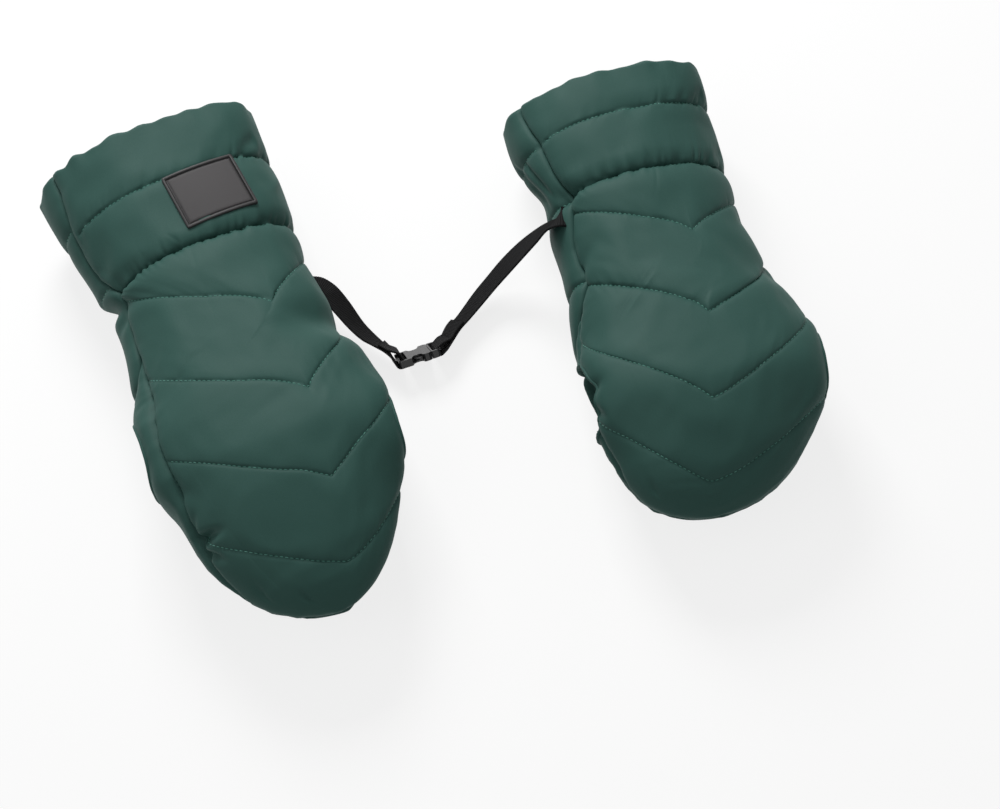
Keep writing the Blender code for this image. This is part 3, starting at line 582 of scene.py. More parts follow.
def crumple(x, y, size, seed):
    """Smooth random waves between -1 and 1, as long and as wide as size says."""
    heights = np.random.default_rng(seed).uniform(-1, 1, (CRUMPLE_CELLS, CRUMPLE_CELLS))
    x, y = x / size[0], y / size[1]
    i, j = np.floor(x).astype(int), np.floor(y).astype(int)
    s, t = eased(x - i), eased(y - j)
    i, j = i % (CRUMPLE_CELLS - 1), j % (CRUMPLE_CELLS - 1)
    low = heights[i, j] * (1 - s) + heights[i + 1, j] * s
    high = heights[i, j + 1] * (1 - s) + heights[i + 1, j + 1] * s
    return low * (1 - t) + high * t


def pillow(distance, width):
    """How far stuffed cloth is drawn in: 1 at its seam, and 0 from where it is full."""
    return 1 - np.sqrt(1 - (1 - np.clip(distance / width, 0, 1)) ** 2)


def groove(distance, depth, half_width):
    """How deep a sharp groove is at a distance from its stitches."""
    return depth * np.exp(-distance / half_width)


class Mitt:
    """A mitt's outline in its own frame: +y from the passage's axis to the cuff, x across, and z up."""

    def __init__(self, side, cuff_y, tip_y, widths, swings, lines, depths, gathers, under_lines, seam_shift,
                 crease, folds, seed):
        self.side, self.half = side, side + "_half"
        hinge = next(joint for joint in frame["joints"] if joint["name"] == side + "_flap_fold")
        self.turn = np.arctan2(hinge["axis"][1], hinge["axis"][0])
        self.place = Matrix.Translation(hinge["pos_m"]) @ Matrix.Rotation(self.turn, 4, "Z")
        self.cuff_y, self.palm_y, self.tip_y = cuff_y, PALM_BEHIND_PASSAGE, tip_y
        self.wrist_y = self.palm_y + (self.cuff_y - self.palm_y) * WRIST_SHARE
        self.half_widths = [width / 2 for width in widths]
        self.half_heights = [CUFF_THICKNESS / 2, WRIST_THICKNESS / 2, PALM_THICKNESS / 2]
        self.swings = swings
        self.lines, self.depths, self.gathers = lines, depths, gathers
        self.under_lines = [place / 1000 for place in under_lines]
        self.seam_shift, self.crease, self.folds = seam_shift, crease, folds
        self.seed = seed

    def off_axis(self, points):
        """How far points of the mitt lie behind the passage's axis, and how far above it."""
        behind = points[..., :3] @ np.array((sin(self.turn), cos(self.turn), 0))
        return behind, points[..., 2] - PASSAGE_HEIGHT

    def between(self, y, sizes):
        """A size at places along the mitt, from its sizes at the cuff, the wrist and the palm."""
        cuff, wrist, palm = sizes[:3]
        rear = wrist + (cuff - wrist) * eased((y - self.wrist_y) / (self.cuff_y - self.wrist_y))
        front = palm + (wrist - palm) * eased((y - self.palm_y) / (self.wrist_y - self.palm_y))
        return np.where(y > self.wrist_y, rear, front)

    def station(self, y):
        """The station along the mitt, 0 at the cuff, 1 at the widest palm and 2 at the finger tip."""
        reach = np.clip((self.palm_y - y) / (self.palm_y - self.tip_y), 0, 1)
        return np.where(y >= self.palm_y, (self.cuff_y - y) / (self.cuff_y - self.palm_y),
                        1 + np.arcsin(reach ** (PLAN_POWER / 2)) / (pi / 2))

    def y_at(self, station, inset=0.0):
        """The place along the mitt of a station."""
        reach = np.sin(np.clip(station - 1, 0, 1) * pi / 2) ** (2 / PLAN_POWER)
        return np.where(station <= 1, self.cuff_y + (self.palm_y - self.cuff_y) * station,
                        self.palm_y - (self.palm_y - self.tip_y - inset) * reach)

    def points(self, station, angle, inset=0.0, puff=0.0, panel="top"):
        """Points of the surface, drawn in by inset and swollen by puff. The flap's lower edge is rounder."""
        y = self.y_at(station, inset)
        ahead = np.clip(station - 1, 0, 1)
        closing = np.maximum(np.cos(ahead * pi / 2), 0)
        widest_y = np.maximum(y, self.palm_y)
        # The cuff is pressed to an edge on its left, and stands square on its right
        squared = CUFF_SQUARED * eased(np.cos(angle) * CUFF_TURNS + 0.5) * (np.sin(angle) > CUFF_SQUARE_FROM)
        pressed = squared - CUFF_PRESSED * eased(0.5 - np.cos(angle) * CUFF_TURNS)
        pressed = SECTION_POWER + pressed * eased(1 - (self.cuff_y - y) / CUFF_PRESSED_DEPTH)
        rise = rounded(np.sin(angle), pressed)
        nose = 2 / NOSE_POWER
        if panel == "flap":
            nose = nose + (2 / LOWER_NOSE_POWER - nose) * eased((-rise - NOSE_FROM) / NOSE_OVER)
        elif panel == "top":
            nose = nose + (2 / UPPER_NOSE_POWER - nose) * eased((rise + NOSE_FROM) / NOSE_OVER)
        half_width = (self.between(widest_y, self.half_widths) - inset) * closing ** (2 / PLAN_POWER)
        half_height = (self.between(widest_y, self.half_heights) - inset) * closing**nose
        forward = np.maximum(0, self.palm_y - y) / (self.palm_y - self.tip_y)
        middle_x = self.between(widest_y, self.swings) + (self.swings[3] - self.swings[2]) * forward**2
        x = middle_x + (half_width + puff) * rounded(np.cos(angle), pressed)
        z = self.between(widest_y, self.half_heights) + (half_height + puff) * rise
        apart = PARTING * eased((PARTING_OPENS - self.y_at(station)) / (2 * PARTING_OPENS))
        z = z + apart if panel == "top" else z - apart
        return np.stack(np.broadcast_arrays(x, y - puff * ahead, np.maximum(z, inset)), axis=-1)

    def seam_angles(self, y):
        """The angles of the right and the left edge of the top panel."""
        lift = SEAM_LIFT - (SEAM_LIFT + PARTING_DROP) * eased((SEAM_LEAVES_SIDE - y)
                                                             / (SEAM_LEAVES_SIDE - SEAM_MEETS_PASSAGE))
        places, shifts = zip(*self.seam_shift)
        shift = np.interp(-y * 1000, [-place for place in places], shifts)
        return -lift, pi - lift + np.radians(shift)

    def panel_angle(self, panel, y, across):
        """The section angle at a share of the way across a panel, clear of the seam by half its gap."""
        right, left = self.seam_angles(y)
        aside = HINGE_GAP / WRIST_THICKNESS
        if panel == "top":
            return right + aside + (left - right - 2 * aside) * across
        return left + aside + (right + 2 * pi - left - 2 * aside) * across

    def folded(self, y, angle):
        """How far the folds of the slack cloth draw it in."""
        depths = 0
        for place_1, angle_1, place_2, angle_2, depth, width in self.folds:
            along = np.array((place_2 - place_1, angle_2 - angle_1))
            length = np.linalg.norm(along)
            off = np.stack([y * 1000 - place_1, np.degrees(angle) - angle_1], axis=-1)
            share = off @ along / length**2
            off_line = np.abs(off @ np.array((-along[1], along[0])) / length)
            taper = eased((share + FOLD_STARTS_BEFORE) / FOLD_FADES_IN) * eased((1 - share) / FOLD_FADES_OUT)
            depths = depths + depth / 1000 * np.exp(-((off_line / width) ** 2)) * taper
        return depths

    def line_places(self, panel, across):
        """Where a panel's two ends and the lines of stitches between them lie, for columns across it."""
        shoulder = self.cuff_y - BINDING_THICKNESS
        if panel == "top":
            found = [np.full_like(across, shoulder)]
            for line in self.lines:
                y = np.full_like(across, line[0][1] / 1000)
                for _ in range(LINE_TRIALS):
                    y = (y + line_at(line, self.panel_angle("top", y, across))) / 2
                found.append(y)
            return found + [np.full_like(across, self.tip_y)]
        places = [place for place in self.under_lines if (place > 0) == (panel == "palm")]
        ends = (shoulder, HINGE_GAP) if panel == "palm" else (-HINGE_GAP, self.tip_y)
        return [np.full_like(across, place) for place in (ends[0], *places, ends[1])]


def line_at(line, angle):
    """The place of a line of stitches at section angles, in metres from the passage's axis."""
    point, left_end, right_end = line
    angle = np.degrees(angle)
    left = np.clip((angle - point[0]) / (left_end[0] - point[0]), 0, LINE_RUNS_ON)
    right = np.clip((point[0] - angle) / (point[0] - right_end[0]), 0, LINE_RUNS_ON)
    rise = np.where(angle > point[0], (left_end[1] - point[1]) * left ** left_end[2],
                    (right_end[1] - point[1]) * right ** right_end[2])
    return (point[1] + rise) / 1000


def grid_faces(rows, columns):
    """The faces of a grid of points."""
    corner = np.arange(rows - 1)[:, None] * columns + np.arange(columns - 1)
    return np.stack([corner, corner + 1, corner + columns + 1, corner + columns], -1).reshape(-1, 4)


def grid_normals(points):
    """Which way the cloth faces at each point of a grid, outwards."""
    normals = unit(np.cross(np.gradient(points, axis=1), np.gradient(points, axis=0)))
    normals[-1] = normals[-2]
    return normals


class Panel:
    """A panel's grid: rows along the mitt, with each line of stitches on its own row, and columns across."""

    def __init__(self, mitt, name, spacing):
        self.mitt = mitt
        self.name = name
        self.body = f"{mitt.side}_flap" if name == "flap" else mitt.half
        across = np.linspace(0, 1, int(pi * mitt.half_widths[2] / spacing) + 1)
        ends = mitt.line_places(name, across)
        rows, self.lines = [], []
        for start, end in zip(ends, ends[1:]):
            first, last = mitt.station(start), mitt.station(end)
            count = max(2, int(np.median(np.abs(start - end)) / spacing))
            self.lines.append(len(rows))
            rows += [first + (last - first) * k / count for k in range(count)]
        self.lines.append(len(rows))
        rows.append(mitt.station(ends[-1]))
        self.station = np.array(rows)
        self.across = np.broadcast_to(across, self.station.shape)
        self.y = mitt.y_at(self.station)
        self.angle = mitt.panel_angle(name, self.y, self.across)
        flat = mitt.points(self.station, self.angle, panel=name)
        self.arc = np.cumsum(np.linalg.norm(np.diff(flat, axis=1, prepend=flat[:, :1]), axis=2), axis=1)
        self.run = np.cumsum(np.linalg.norm(np.diff(flat, axis=0, prepend=flat[:1]), axis=2), axis=0)
        off = mitt.off_axis(flat)
        self.to_passage = np.maximum(np.hypot(*off) - PASSAGE_RADIUS, 0)
        # 1 over the passage, 0 beside it and -1 under it
        self.over_passage = eased(off[1] / PASSAGE_RADIUS) - eased(-off[1] / PASSAGE_RADIUS)
        # How far the points lie from the nearer side seam
        self.to_seam = np.minimum(self.arc, self.arc[:, -1:] - self.arc)

    def to_line(self, row):
        """How far the points lie from a line of stitches, negative towards the cuff."""
        slope = np.gradient(self.run[row]) / np.maximum(np.gradient(self.arc[row]), 1e-6)
        return (self.run - self.run[row]) / np.sqrt(1 + np.clip(slope, -2, 2) ** 2)

    def in_front_of_crease(self):
        """1 on the back of the hand, and 0 on the side band beyond the crease."""
        return eased((self.crease_angle() - np.degrees(self.angle)) / CREASE_BLEND)

    def crease_angle(self):
        """The section angle of the crease at each point's place along the mitt."""
        places, angles = zip(*self.mitt.crease)
        return np.interp(-self.y * 1000, [-place for place in places], angles)

    def to_crease(self):
        """How far the points lie from the crease, negative on the side band."""
        return np.radians(self.crease_angle() - np.degrees(self.angle)) * WRIST_THICKNESS / 2 * CREASE_STRETCH

    def sewn(self, points):
        """Where the cloth can't move: at its edges, its lines of stitches, its crease and its passage."""
        held = (self.to_seam < HELD_BESIDE_SEAM) | (self.arc[:, -1:] < HELD_WHERE_NARROW)
        held[:2] = held[-1] = True
        held |= np.hypot(*self.mitt.off_axis(points)) < PASSAGE_RADIUS + HELD_ROUND_PASSAGE
        for row in self.lines[1:-1]:
            held[row] = True if self.name != "top" else held[row] | (self.in_front_of_crease()[row] > 0.5)
        if self.name == "top":
            held |= (np.abs(self.to_crease()) < HELD_BESIDE_SEAM) & (self.y < SEAM_LEAVES_SIDE)
        return held

    def heights(self):
        """How far the cloth stands out from the mitt's outline, with its channels, seams and folds."""
        mitt, top = self.mitt, self.name == "top"
        front = eased((SEAM_MEETS_PASSAGE - self.y) / SEAM_MEETS_PASSAGE)
        edge_depth = SEAM_DEPTH + (PARTING_DEPTH - SEAM_DEPTH) * front
        height = FULL_HEIGHT - edge_depth * pillow(self.to_seam, SEAM_DRAW_WIDTH)
        height = height - groove(self.to_seam, *SEAM_GROOVE)
        # It drapes over the passage, and is drawn in under it
        drape = np.where(self.over_passage > 0, PASSAGE_DRAPE, PASSAGE_DRAW) * self.over_passage
        height = height + drape * np.exp(-((self.to_passage / PASSAGE_DRAPE_WIDTH) ** 2))
        back = self.in_front_of_crease() if top else np.ones_like(self.y)
        # Gathers and the filling's own unevenness
        gathers = (SEAM_GATHERS[0] + SEAM_GATHERS[1] * front) * crumple(self.run, self.arc, SEAM_GATHER_SIZE,
                                                                        mitt.seed)
        gathers = gathers * np.exp(-self.to_seam / SEAM_GATHER_REACH)
        uneven = 1 if top else UNDER_UNEVEN
        gathers += WAVE_HEIGHT * uneven * crumple(self.arc, self.run, WAVE_SIZE, mitt.seed + 1)
        gathers += DIMPLE_HEIGHT * uneven * crumple(self.arc, self.run, DIMPLE_SIZE, mitt.seed + 2)
        for k, row in enumerate(self.lines[1:-1]):
            depths = mitt.depths[k] if top else UNDER_DEPTHS
            crimps = mitt.gathers[k] if top else UNDER_GATHERS
            away = self.to_line(row)
            behind = away < 0
            channel_before = self.run[row] - self.run[self.lines[k]]
            channel_after = self.run[self.lines[k + 2]] - self.run[row]
            width = np.where(behind, np.minimum(CHANNEL_REACH[0], channel_before / 2),
                             np.minimum(CHANNEL_REACH[1], channel_after / 2))
            rightness = 1 - self.across if top else self.across
            depth = (depths[0] + (depths[1] - depths[0]) * rightness) / 1000
            height -= depth * back * pillow(np.abs(away), np.maximum(width, TOP_SPACING))
            crimp = (crimps[0] + (crimps[1] - crimps[0]) * rightness) / 1000
            ridge = 2 * np.abs(crumple(self.arc, away, CRIMP_SIZE, mitt.seed + 10 + k)) - 1
            broad = crumple(self.arc, away, BROAD_CRIMP_SIZE, mitt.seed + 30 + k)
            near = np.exp(-np.abs(away) / np.where(behind, *CRIMP_REACH)) * back
            gathers += crimp * near * (CRIMP_SHARP * ridge + np.where(behind, *CRIMP_BROAD) * broad)
            height -= groove(np.abs(away), *LINE_GROOVE) * back
        if top:
            aside = np.abs(self.to_crease())
            fades = eased((SEAM_LEAVES_SIDE + CREASE_STARTS - self.y) / CREASE_FADES)
            height -= fades * (CREASE_DEPTH * pillow(aside, CREASE_WIDTH) + groove(aside, *CREASE_GROOVE))
            gathers += fades * groove(aside, CREASE_GATHERS, CREASE_GATHER_REACH) * crumple(
                self.run, self.arc, CREASE_GATHER_SIZE, mitt.seed + 3)
        if self.name == "flap":
            # It is as full as the palm at the hinge line, and flatter ahead of it
            height = height * (1 - (1 - FLAP_FULLNESS) * eased(-self.y / FLAP_FLATTENS))
        height -= mitt.folded(self.y, self.angle)
        return height, gathers * eased(self.to_seam / TOP_SPACING)


def filled_in(values, kept, count):
    """Straight steps between the rows that are kept."""
    place = np.arange(count)
    index = np.clip(np.searchsorted(kept, place, side="right") - 1, 0, len(kept) - 2)
    kept = np.array(kept)
    share = ((place - kept[index]) / (kept[index + 1] - kept[index]))[:, None, None]
    return values[index] * (1 - share) + values[index + 1] * share


def settled(panel, points):
    """The cloth between its seams as it fills out and wrinkles: it is cut a little too large for them."""
    shape = points.shape[:2]
    rows = sorted(set(range(0, shape[0], SLACK_COARSER)) | set(panel.lines))
    columns = sorted(set(range(0, shape[1], SLACK_COARSER)) | {shape[1] - 1})
    cut = points[np.ix_(rows, columns)]
    start = cut.reshape(-1, 3)
    data = bpy.data.meshes.new("slack")
    data.from_pydata(start.tolist(), [], grid_faces(*cut.shape[:2])[:, ::-1].tolist())
    slack = bpy.data.objects.new("slack", data)
    bpy.context.collection.objects.link(slack)
    held = np.nonzero(panel.sewn(points)[np.ix_(rows, columns)].ravel())[0]
    slack.vertex_groups.new(name="sewn").add(held.tolist(), 1.0, "REPLACE")
    cloth = slack.modifiers.new("cloth", "CLOTH")
    cloth.settings.vertex_group_mass = "sewn"
    cloth.settings.effector_weights.gravity = 0
    cloth.settings.use_pressure = True
    cloth.settings.uniform_pressure_force = SLACK_PRESSURE
    cloth.settings.shrink_min = -SLACK if panel.name == "top" else -UNDER_SLACK
    cloth.settings.bending_stiffness = SLACK_BENDING
    cloth.collision_settings.use_collision = False
    cloth.point_cache.frame_start = 1
    cloth.point_cache.frame_end = SLACK_FRAMES
    for step in range(1, SLACK_FRAMES + 1):
        bpy.context.scene.frame_set(step)
    moved = np.empty(start.size, dtype=np.float32)
    slack.evaluated_get(bpy.context.evaluated_depsgraph_get()).data.vertices.foreach_get("co", moved)
    moved = moved.reshape(-1, 3) - start
    reach = np.linalg.norm(moved, axis=1, keepdims=True)
    moved = moved * np.tanh(reach / SLACK_LIMIT) * SLACK_LIMIT / np.maximum(reach, 1e-9)
    bpy.data.objects.remove(slack)
    bpy.context.scene.frame_set(1)
    moved = moved.reshape(cut.shape)
    for _ in range(SLACK_SMOOTHINGS):
        beside = moved[:-2, 1:-1] + moved[2:, 1:-1] + moved[1:-1, :-2] + moved[1:-1, 2:]
        moved[1:-1, 1:-1] = (moved[1:-1, 1:-1] * 2 + beside) / 6
    moved = filled_in(moved, rows, shape[0])
    return filled_in(moved.transpose(1, 0, 2), columns, shape[1]).transpose(1, 0, 2)


def without_passage(mitt, points, faces, radius=PASSAGE_RADIUS):
    """Cuts the round passage out of a surface, and lays the cut's edge on the circle."""
    off = np.stack(mitt.off_axis(points), axis=1)
    reach = np.linalg.norm(off, axis=1)
    inside = reach < radius
    faces = faces[~inside[faces].all(axis=1)]
    edge = np.zeros(len(points), dtype=bool)
    edge[faces.ravel()] = True
    edge &= inside
    shift = off[edge] * (radius / np.maximum(reach[edge], 1e-6) - 1)[:, None]
    points = points.copy()
    points[edge, 0] += shift[:, 0] * sin(mitt.turn)
    points[edge, 1] += shift[:, 0] * cos(mitt.turn)
    points[edge, 2] += shift[:, 1]
    return points, faces, edge


def cloth_piece(name, mitt, points, faces, uv, finish):
    """A piece of cloth from a grid. Points that no face uses are dropped, and those of the tip made one."""
    used = np.unique(faces)
    index = np.full(len(points), -1)
    index[used] = np.arange(len(used))
    made = mesh_piece(name, points[used], index[faces], finish, mitt.place, uv[used])
    mesh = bmesh.new()
    mesh.from_mesh(made.data)
    bmesh.ops.remove_doubles(mesh, verts=mesh.verts, dist=CLOTH_WELD)
    bmesh.ops.dissolve_degenerate(mesh, edges=mesh.edges, dist=CLOTH_WELD / 10)
    mesh.to_mesh(made.data)
    mesh.free()
    return made


# How much too large the cloth is cut, and how it settles on a grid that is coarser by a whole number
SLACK = 0.005
UNDER_SLACK = SLACK / 3
SLACK_PRESSURE = 4
SLACK_BENDING = 4.0
SLACK_LIMIT = 0.0008
SLACK_SMOOTHINGS = 4
SLACK_COARSER = 3
SLACK_FRAMES = 20
# How near to a seam and to the passage the cloth is held, and under which width of the panel all of it is
HELD_BESIDE_SEAM = 0.0012
HELD_ROUND_PASSAGE = 0.003
HELD_WHERE_NARROW = 0.05
CLOTH_WELD = 0.00002
# The cloth's edges are turned in round the wall, as insets, shares of the height and shifts along the mitt
SIDE_TURN = ((0.0012, 0.55, 0), (0.0035, 0, 0), (WALL, 0, 0))
CUFF_TURN = ((0, 0.85, 0.0010), (0, 0.35, 0.0020), (0.0020, 0, 0.0023), (0.0050, 0, 0.0020),
             (0.0090, 0, 0.0005), (WALL, 0, -0.0020))
# The elastic's gathers at the cuff's edge: how far they shift it along and stand out, their sizes and reach
CUFF_EDGE_SHIFT = 0.0012
CUFF_EDGE_GATHERS = 0.0009
CUFF_EDGE_SHIFT_SIZE = (0.0085, 1)
CUFF_EDGE_GATHER_SIZE = (0.007, 0.020)
CUFF_EDGE_REACH = 0.007
CUFF_EDGE_WALL = 0.004
FLOOR_CLEARANCE = 0.0002


def shell_piece(mitt, panel_name, finish):
    """Makes a panel's shell. What its stitches and hems need: the panel, its points, its passage's edge."""
    panel = Panel(mitt, panel_name, TOP_SPACING if panel_name == "top" else UNDER_SPACING)
    height, gathers = panel.heights()
    rows, columns = panel.station.shape
    side = list(SIDE_TURN)
    start = list(CUFF_TURN) if panel_name != "flap" else side
    end = side if panel_name == "palm" else []
    row_turn = start[::-1] + [(0, 1, 0)] * rows + end
    column_turn = side[::-1] + [(0, 1, 0)] * columns + side
    row_index = [0] * len(start) + list(range(rows)) + [rows - 1] * len(end)
    column_index = [0] * len(side) + list(range(columns)) + [columns - 1] * len(side)
    pick = np.ix_(row_index, column_index)
    inset = np.maximum.outer([turn[0] for turn in row_turn], [turn[0] for turn in column_turn])
    share = np.minimum.outer([turn[1] for turn in row_turn], [turn[1] for turn in column_turn])
    shift = np.array([turn[2] for turn in row_turn])[:, None]
    station = panel.station[pick] - shift / (mitt.cuff_y - mitt.palm_y)
    points = mitt.points(station, panel.angle[pick], inset, height[pick] * share, panel_name)
    normals = grid_normals(points)
    points += normals * (gathers[pick] * (share == 1))[..., None]
    if panel_name != "flap":
        # The cuff's edge is gathered by the elastic in it
        arc, down = panel.arc[pick], panel.run[pick]
        wave = np.exp(-down / CUFF_EDGE_REACH) * (inset < CUFF_EDGE_WALL)
        points[..., 1] += CUFF_EDGE_SHIFT * crumple(arc, 0 * arc, CUFF_EDGE_SHIFT_SIZE, mitt.seed + 4) * wave
        stands_out = CUFF_EDGE_GATHERS * crumple(arc, down, CUFF_EDGE_GATHER_SIZE, mitt.seed + 5) * wave
        points += normals * stands_out[..., None]
    inner = (slice(len(start), len(start) + rows), slice(len(side), len(side) + columns))
    points[inner] += settled(panel, points[inner])
    points[..., 2] = np.maximum(points[..., 2], FLOOR_CLEARANCE)
    normals = grid_normals(points).reshape(-1, 3)
    uv = np.stack([panel.arc[pick], panel.run[pick]], axis=-1)
    flat, faces, edge = without_passage(mitt, points.reshape(-1, 3), grid_faces(*station.shape))
    made = cloth_piece(f"{mitt.side}_{panel_name}_shell_cloth", mitt, flat, faces, uv.reshape(-1, 2), finish)
    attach(made, panel.body)
    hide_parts(f"{mitt.side}_{panel_name}_shell")
    edge &= share.reshape(-1) == 1
    return panel, points[inner], np.hstack([flat[edge], normals[edge]])


LEFT = Mitt("left", LEFT_CUFF_BEHIND, -LEFT_TIP_BEFORE, LEFT_WIDTHS, LEFT_SWINGS, LEFT_LINES, LEFT_DEPTHS,
            LEFT_GATHERS, LEFT_UNDER_LINES, LEFT_SEAM_SHIFT, LEFT_CREASE, LEFT_FOLDS, LEFT_SEED)
RIGHT = Mitt("right", RIGHT_CUFF_BEHIND, -RIGHT_TIP_BEFORE, RIGHT_WIDTHS, RIGHT_SWINGS, RIGHT_LINES,
             RIGHT_DEPTHS, RIGHT_GATHERS, RIGHT_UNDER_LINES, RIGHT_SEAM_SHIFT, RIGHT_CREASE, RIGHT_FOLDS,
             RIGHT_SEED)

# Polyester taffeta: flat filament yarn in a plain weave, with a soft satin sheen. The threads lie 0.2 mm
# apart and are drawn at 0.6 mm so that they show
THREAD_SPACING = 0.0006
SLUB_SIZE = 0.0011
shell_cloth, tree, surface = new_finish("woven_polyester")
place = add_node(tree, "UVMap", uv_map="cloth")
warp = add_node(tree, "TexWave", {"Vector": place.outputs[0], "Scale": pi / 10 / THREAD_SPACING},
                bands_direction="X")
weft = add_node(tree, "TexWave", {"Vector": place.outputs[0], "Scale": pi / 10 / THREAD_SPACING},
                bands_direction="Y")
weave = add_node(tree, "Math", {0: warp.outputs["Fac"], 1: weft.outputs["Fac"]}, operation="ADD")
slub = add_node(tree, "TexNoise", {"Scale": 1 / SLUB_SIZE, "Detail": 3.0})
tone = add_node(tree, "ValToRGB", {"Fac": slub.outputs["Fac"]})
tone.color_ramp.elements[0].position = 0.3
tone.color_ramp.elements[0].color = linear("#2a4b45")
tone.color_ramp.elements[1].position = 0.7
tone.color_ramp.elements[1].color = linear("#345750")
bump = add_node(tree, "Bump", {"Strength": 0.10, "Distance": 0.0002, "Height": weave.outputs[0]})
tree.links.new(tone.outputs["Color"], surface.inputs["Base Color"])
tree.links.new(bump.outputs[0], surface.inputs["Normal"])
surface.inputs["Roughness"].default_value = 0.60
surface.inputs["IOR"].default_value = 1.45
surface.inputs["Specular IOR Level"].default_value = 0.22
surface.inputs["Sheen Weight"].default_value = 0.04
surface.inputs["Sheen Tint"].default_value = linear("#8fc0b4")

shells = {(mitt.side, name): shell_piece(mitt, name, shell_cloth)
          for mitt in (LEFT, RIGHT) for name in ("top", "palm", "flap")}

# Stitches
# The quilting thread: a paler, slightly glossy polyester thread that is pulled down into the cloth.
STITCH_PITCH = 0.0029
STITCH_LENGTH = 0.0021
THREAD_DIAMETER = 0.00048
# A stitch shorter than this share of its length, round a sharp bend, is left out
SHORTEST_STITCH = 0.7
# The stitch as rings: shares of its length, of the thread's width and of the height that it is lifted by
STITCH_RINGS = ((0, 0.4, -0.4), (0.18, 0.9, 0.35), (0.5, 1, 0.6), (0.82, 0.9, 0.35), (1, 0.4, -0.4))
STITCH_SIDES = 6
# How far a line of stitches stays off a side seam, and how far on the back of the hand it has to lie
STITCHES_TO_SEAM = 0.002
STITCHES_ON_BACK = 0.6

# Bonded polyester thread, a paler teal than the cloth: it draws the rows of dashes along each valley
thread, tree, surface = new_finish("polyester_thread")
surface.inputs["Base Color"].default_value = linear("#4c8a7c")
surface.inputs["Roughness"].default_value = 0.45


def stitch_rows(panel, outer, skip_band):
    """The lines of stitches of a panel as rows of points with the way the cloth faces there."""
    normals = grid_normals(outer)
    back = panel.in_front_of_crease() if skip_band else np.ones_like(panel.y)
    for row in panel.lines[1:-1]:
        keep = (panel.to_seam[row] > STITCHES_TO_SEAM) & (back[row] > STITCHES_ON_BACK)
        yield outer[row][keep], normals[row][keep]


def stitches(mitt, panel_name, finish):
    """The stitches of a panel, as one piece of short lengths of thread."""
    panel, outer, _ = shells[mitt.side, panel_name]
    starts, ends, lifts = [], [], []
    for line, facing in stitch_rows(panel, outer, panel_name == "top"):
        reach = lengths_along(line)
        first = np.arange(STITCH_PITCH / 2, reach[-1] - STITCH_PITCH, STITCH_PITCH)
        starts.append(at_lengths(first, reach, line))
        ends.append(at_lengths(first + STITCH_LENGTH, reach, line))
        lifts.append(at_lengths(first, reach, facing))
    start, end, lift = (np.concatenate(part) for part in (starts, ends, lifts))
    keep = np.linalg.norm(end - start, axis=1) > STITCH_LENGTH * SHORTEST_STITCH
    keep &= np.hypot(*mitt.off_axis(start)) > PASSAGE_RADIUS + STITCH_LENGTH
    start, end, lift = start[keep], end[keep], unit(lift[keep])
    ahead = unit(end - start)
    aside = unit(np.cross(ahead, lift))
    turn = np.arange(STITCH_SIDES) * 2 * pi / STITCH_SIDES
    spokes = aside[:, None] * np.cos(turn)[:, None] + lift[:, None] * np.sin(turn)[:, None]
    rings = []
    for along, size, raised in STITCH_RINGS:
        middle = start + (end - start) * along + lift * THREAD_DIAMETER * raised
        rings.append(middle[:, None] + THREAD_DIAMETER / 2 * size * spokes)
    points = np.stack(rings, axis=1).reshape(-1, 3)
    faces = tube_faces(len(rings), STITCH_SIDES)[:, ::-1]
    faces = (np.arange(len(start))[:, None, None] * len(rings) * STITCH_SIDES + faces).reshape(-1, 4)
    made = mesh_piece(f"{mitt.side}_{panel_name}_stitches", points, faces, finish, mitt.place)
    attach(made, panel.body)


for mitt in (LEFT, RIGHT):
    for name in ("top", "palm", "flap"):
        stitches(mitt, name, thread)

# Rubber patch
# A bare moulded patch sewn on the left mitt, with a raised rim and a groove inside the rim. It is stiffer
# than the cloth, so it bridges the channel that it lies on in one soft curve.
PATCH_WIDTH = 0.0455
PATCH_HEIGHT = 0.0380
PATCH_ACROSS = 0.0240
PATCH_BEHIND_PASSAGE = 0.1560
PATCH_TURN = radians(5)
PATCH_SINKS = 0.0012
# The patch's surface from its edge inwards, as distances and heights above the cloth in millimetres
PATCH_PROFILE = ((0, -0.8), (0, 0.9), (0.12, 1.35), (0.4, 1.55), (1.5, 1.55), (1.8, 1.35), (1.95, 0.85),
                 (2.2, 0.5), (2.7, 0.5), (2.9, 0.8), (3.2, 1.0))
# The profile's steps before this one are of the darker rubber
PATCH_RIM_STEPS = 8
PATCH_SPAN = 0.0012
PATCH_CORNER = 0.0016
# Where the cloth under it is felt, as shares of its width and height, and from how high up
PATCH_SAMPLES_ACROSS = np.linspace(-0.46, 0.46, 13)
PATCH_SAMPLES_ALONG = np.linspace(-0.40, 0.40, 11)
PATCH_SAMPLED_FROM = 0.2
PEBBLE_SIZE = 0.0006

# Moulded PVC rubber: dark grey, with a fine pebbled grain and a broad dull highlight
rubber, tree, surface = new_finish("moulded_rubber")
grain = add_node(tree, "TexVoronoi", {"Scale": 1 / PEBBLE_SIZE})
bump = add_node(tree, "Bump", {"Strength": 0.35, "Distance": 0.0001, "Height": grain.outputs["Distance"]})
tree.links.new(bump.outputs[0], surface.inputs["Normal"])
surface.inputs["Base Color"].default_value = linear("#3d3b3c")
surface.inputs["Roughness"].default_value = 0.55
surface.inputs["Specular IOR Level"].default_value = 0.25

# The patch's rim and back are of a darker rubber, which frames the face
dark_rubber, tree, surface = new_finish("moulded_dark_rubber")
surface.inputs["Base Color"].default_value = linear("#191819")
surface.inputs["Roughness"].default_value = 0.50
surface.inputs["Specular IOR Level"].default_value = 0.35

shell = shells["left", "top"][1]
sampled = BVHTree.FromPolygons([Vector(point) for point in shell.reshape(-1, 3)],
                               grid_faces(*shell.shape[:2]).tolist())


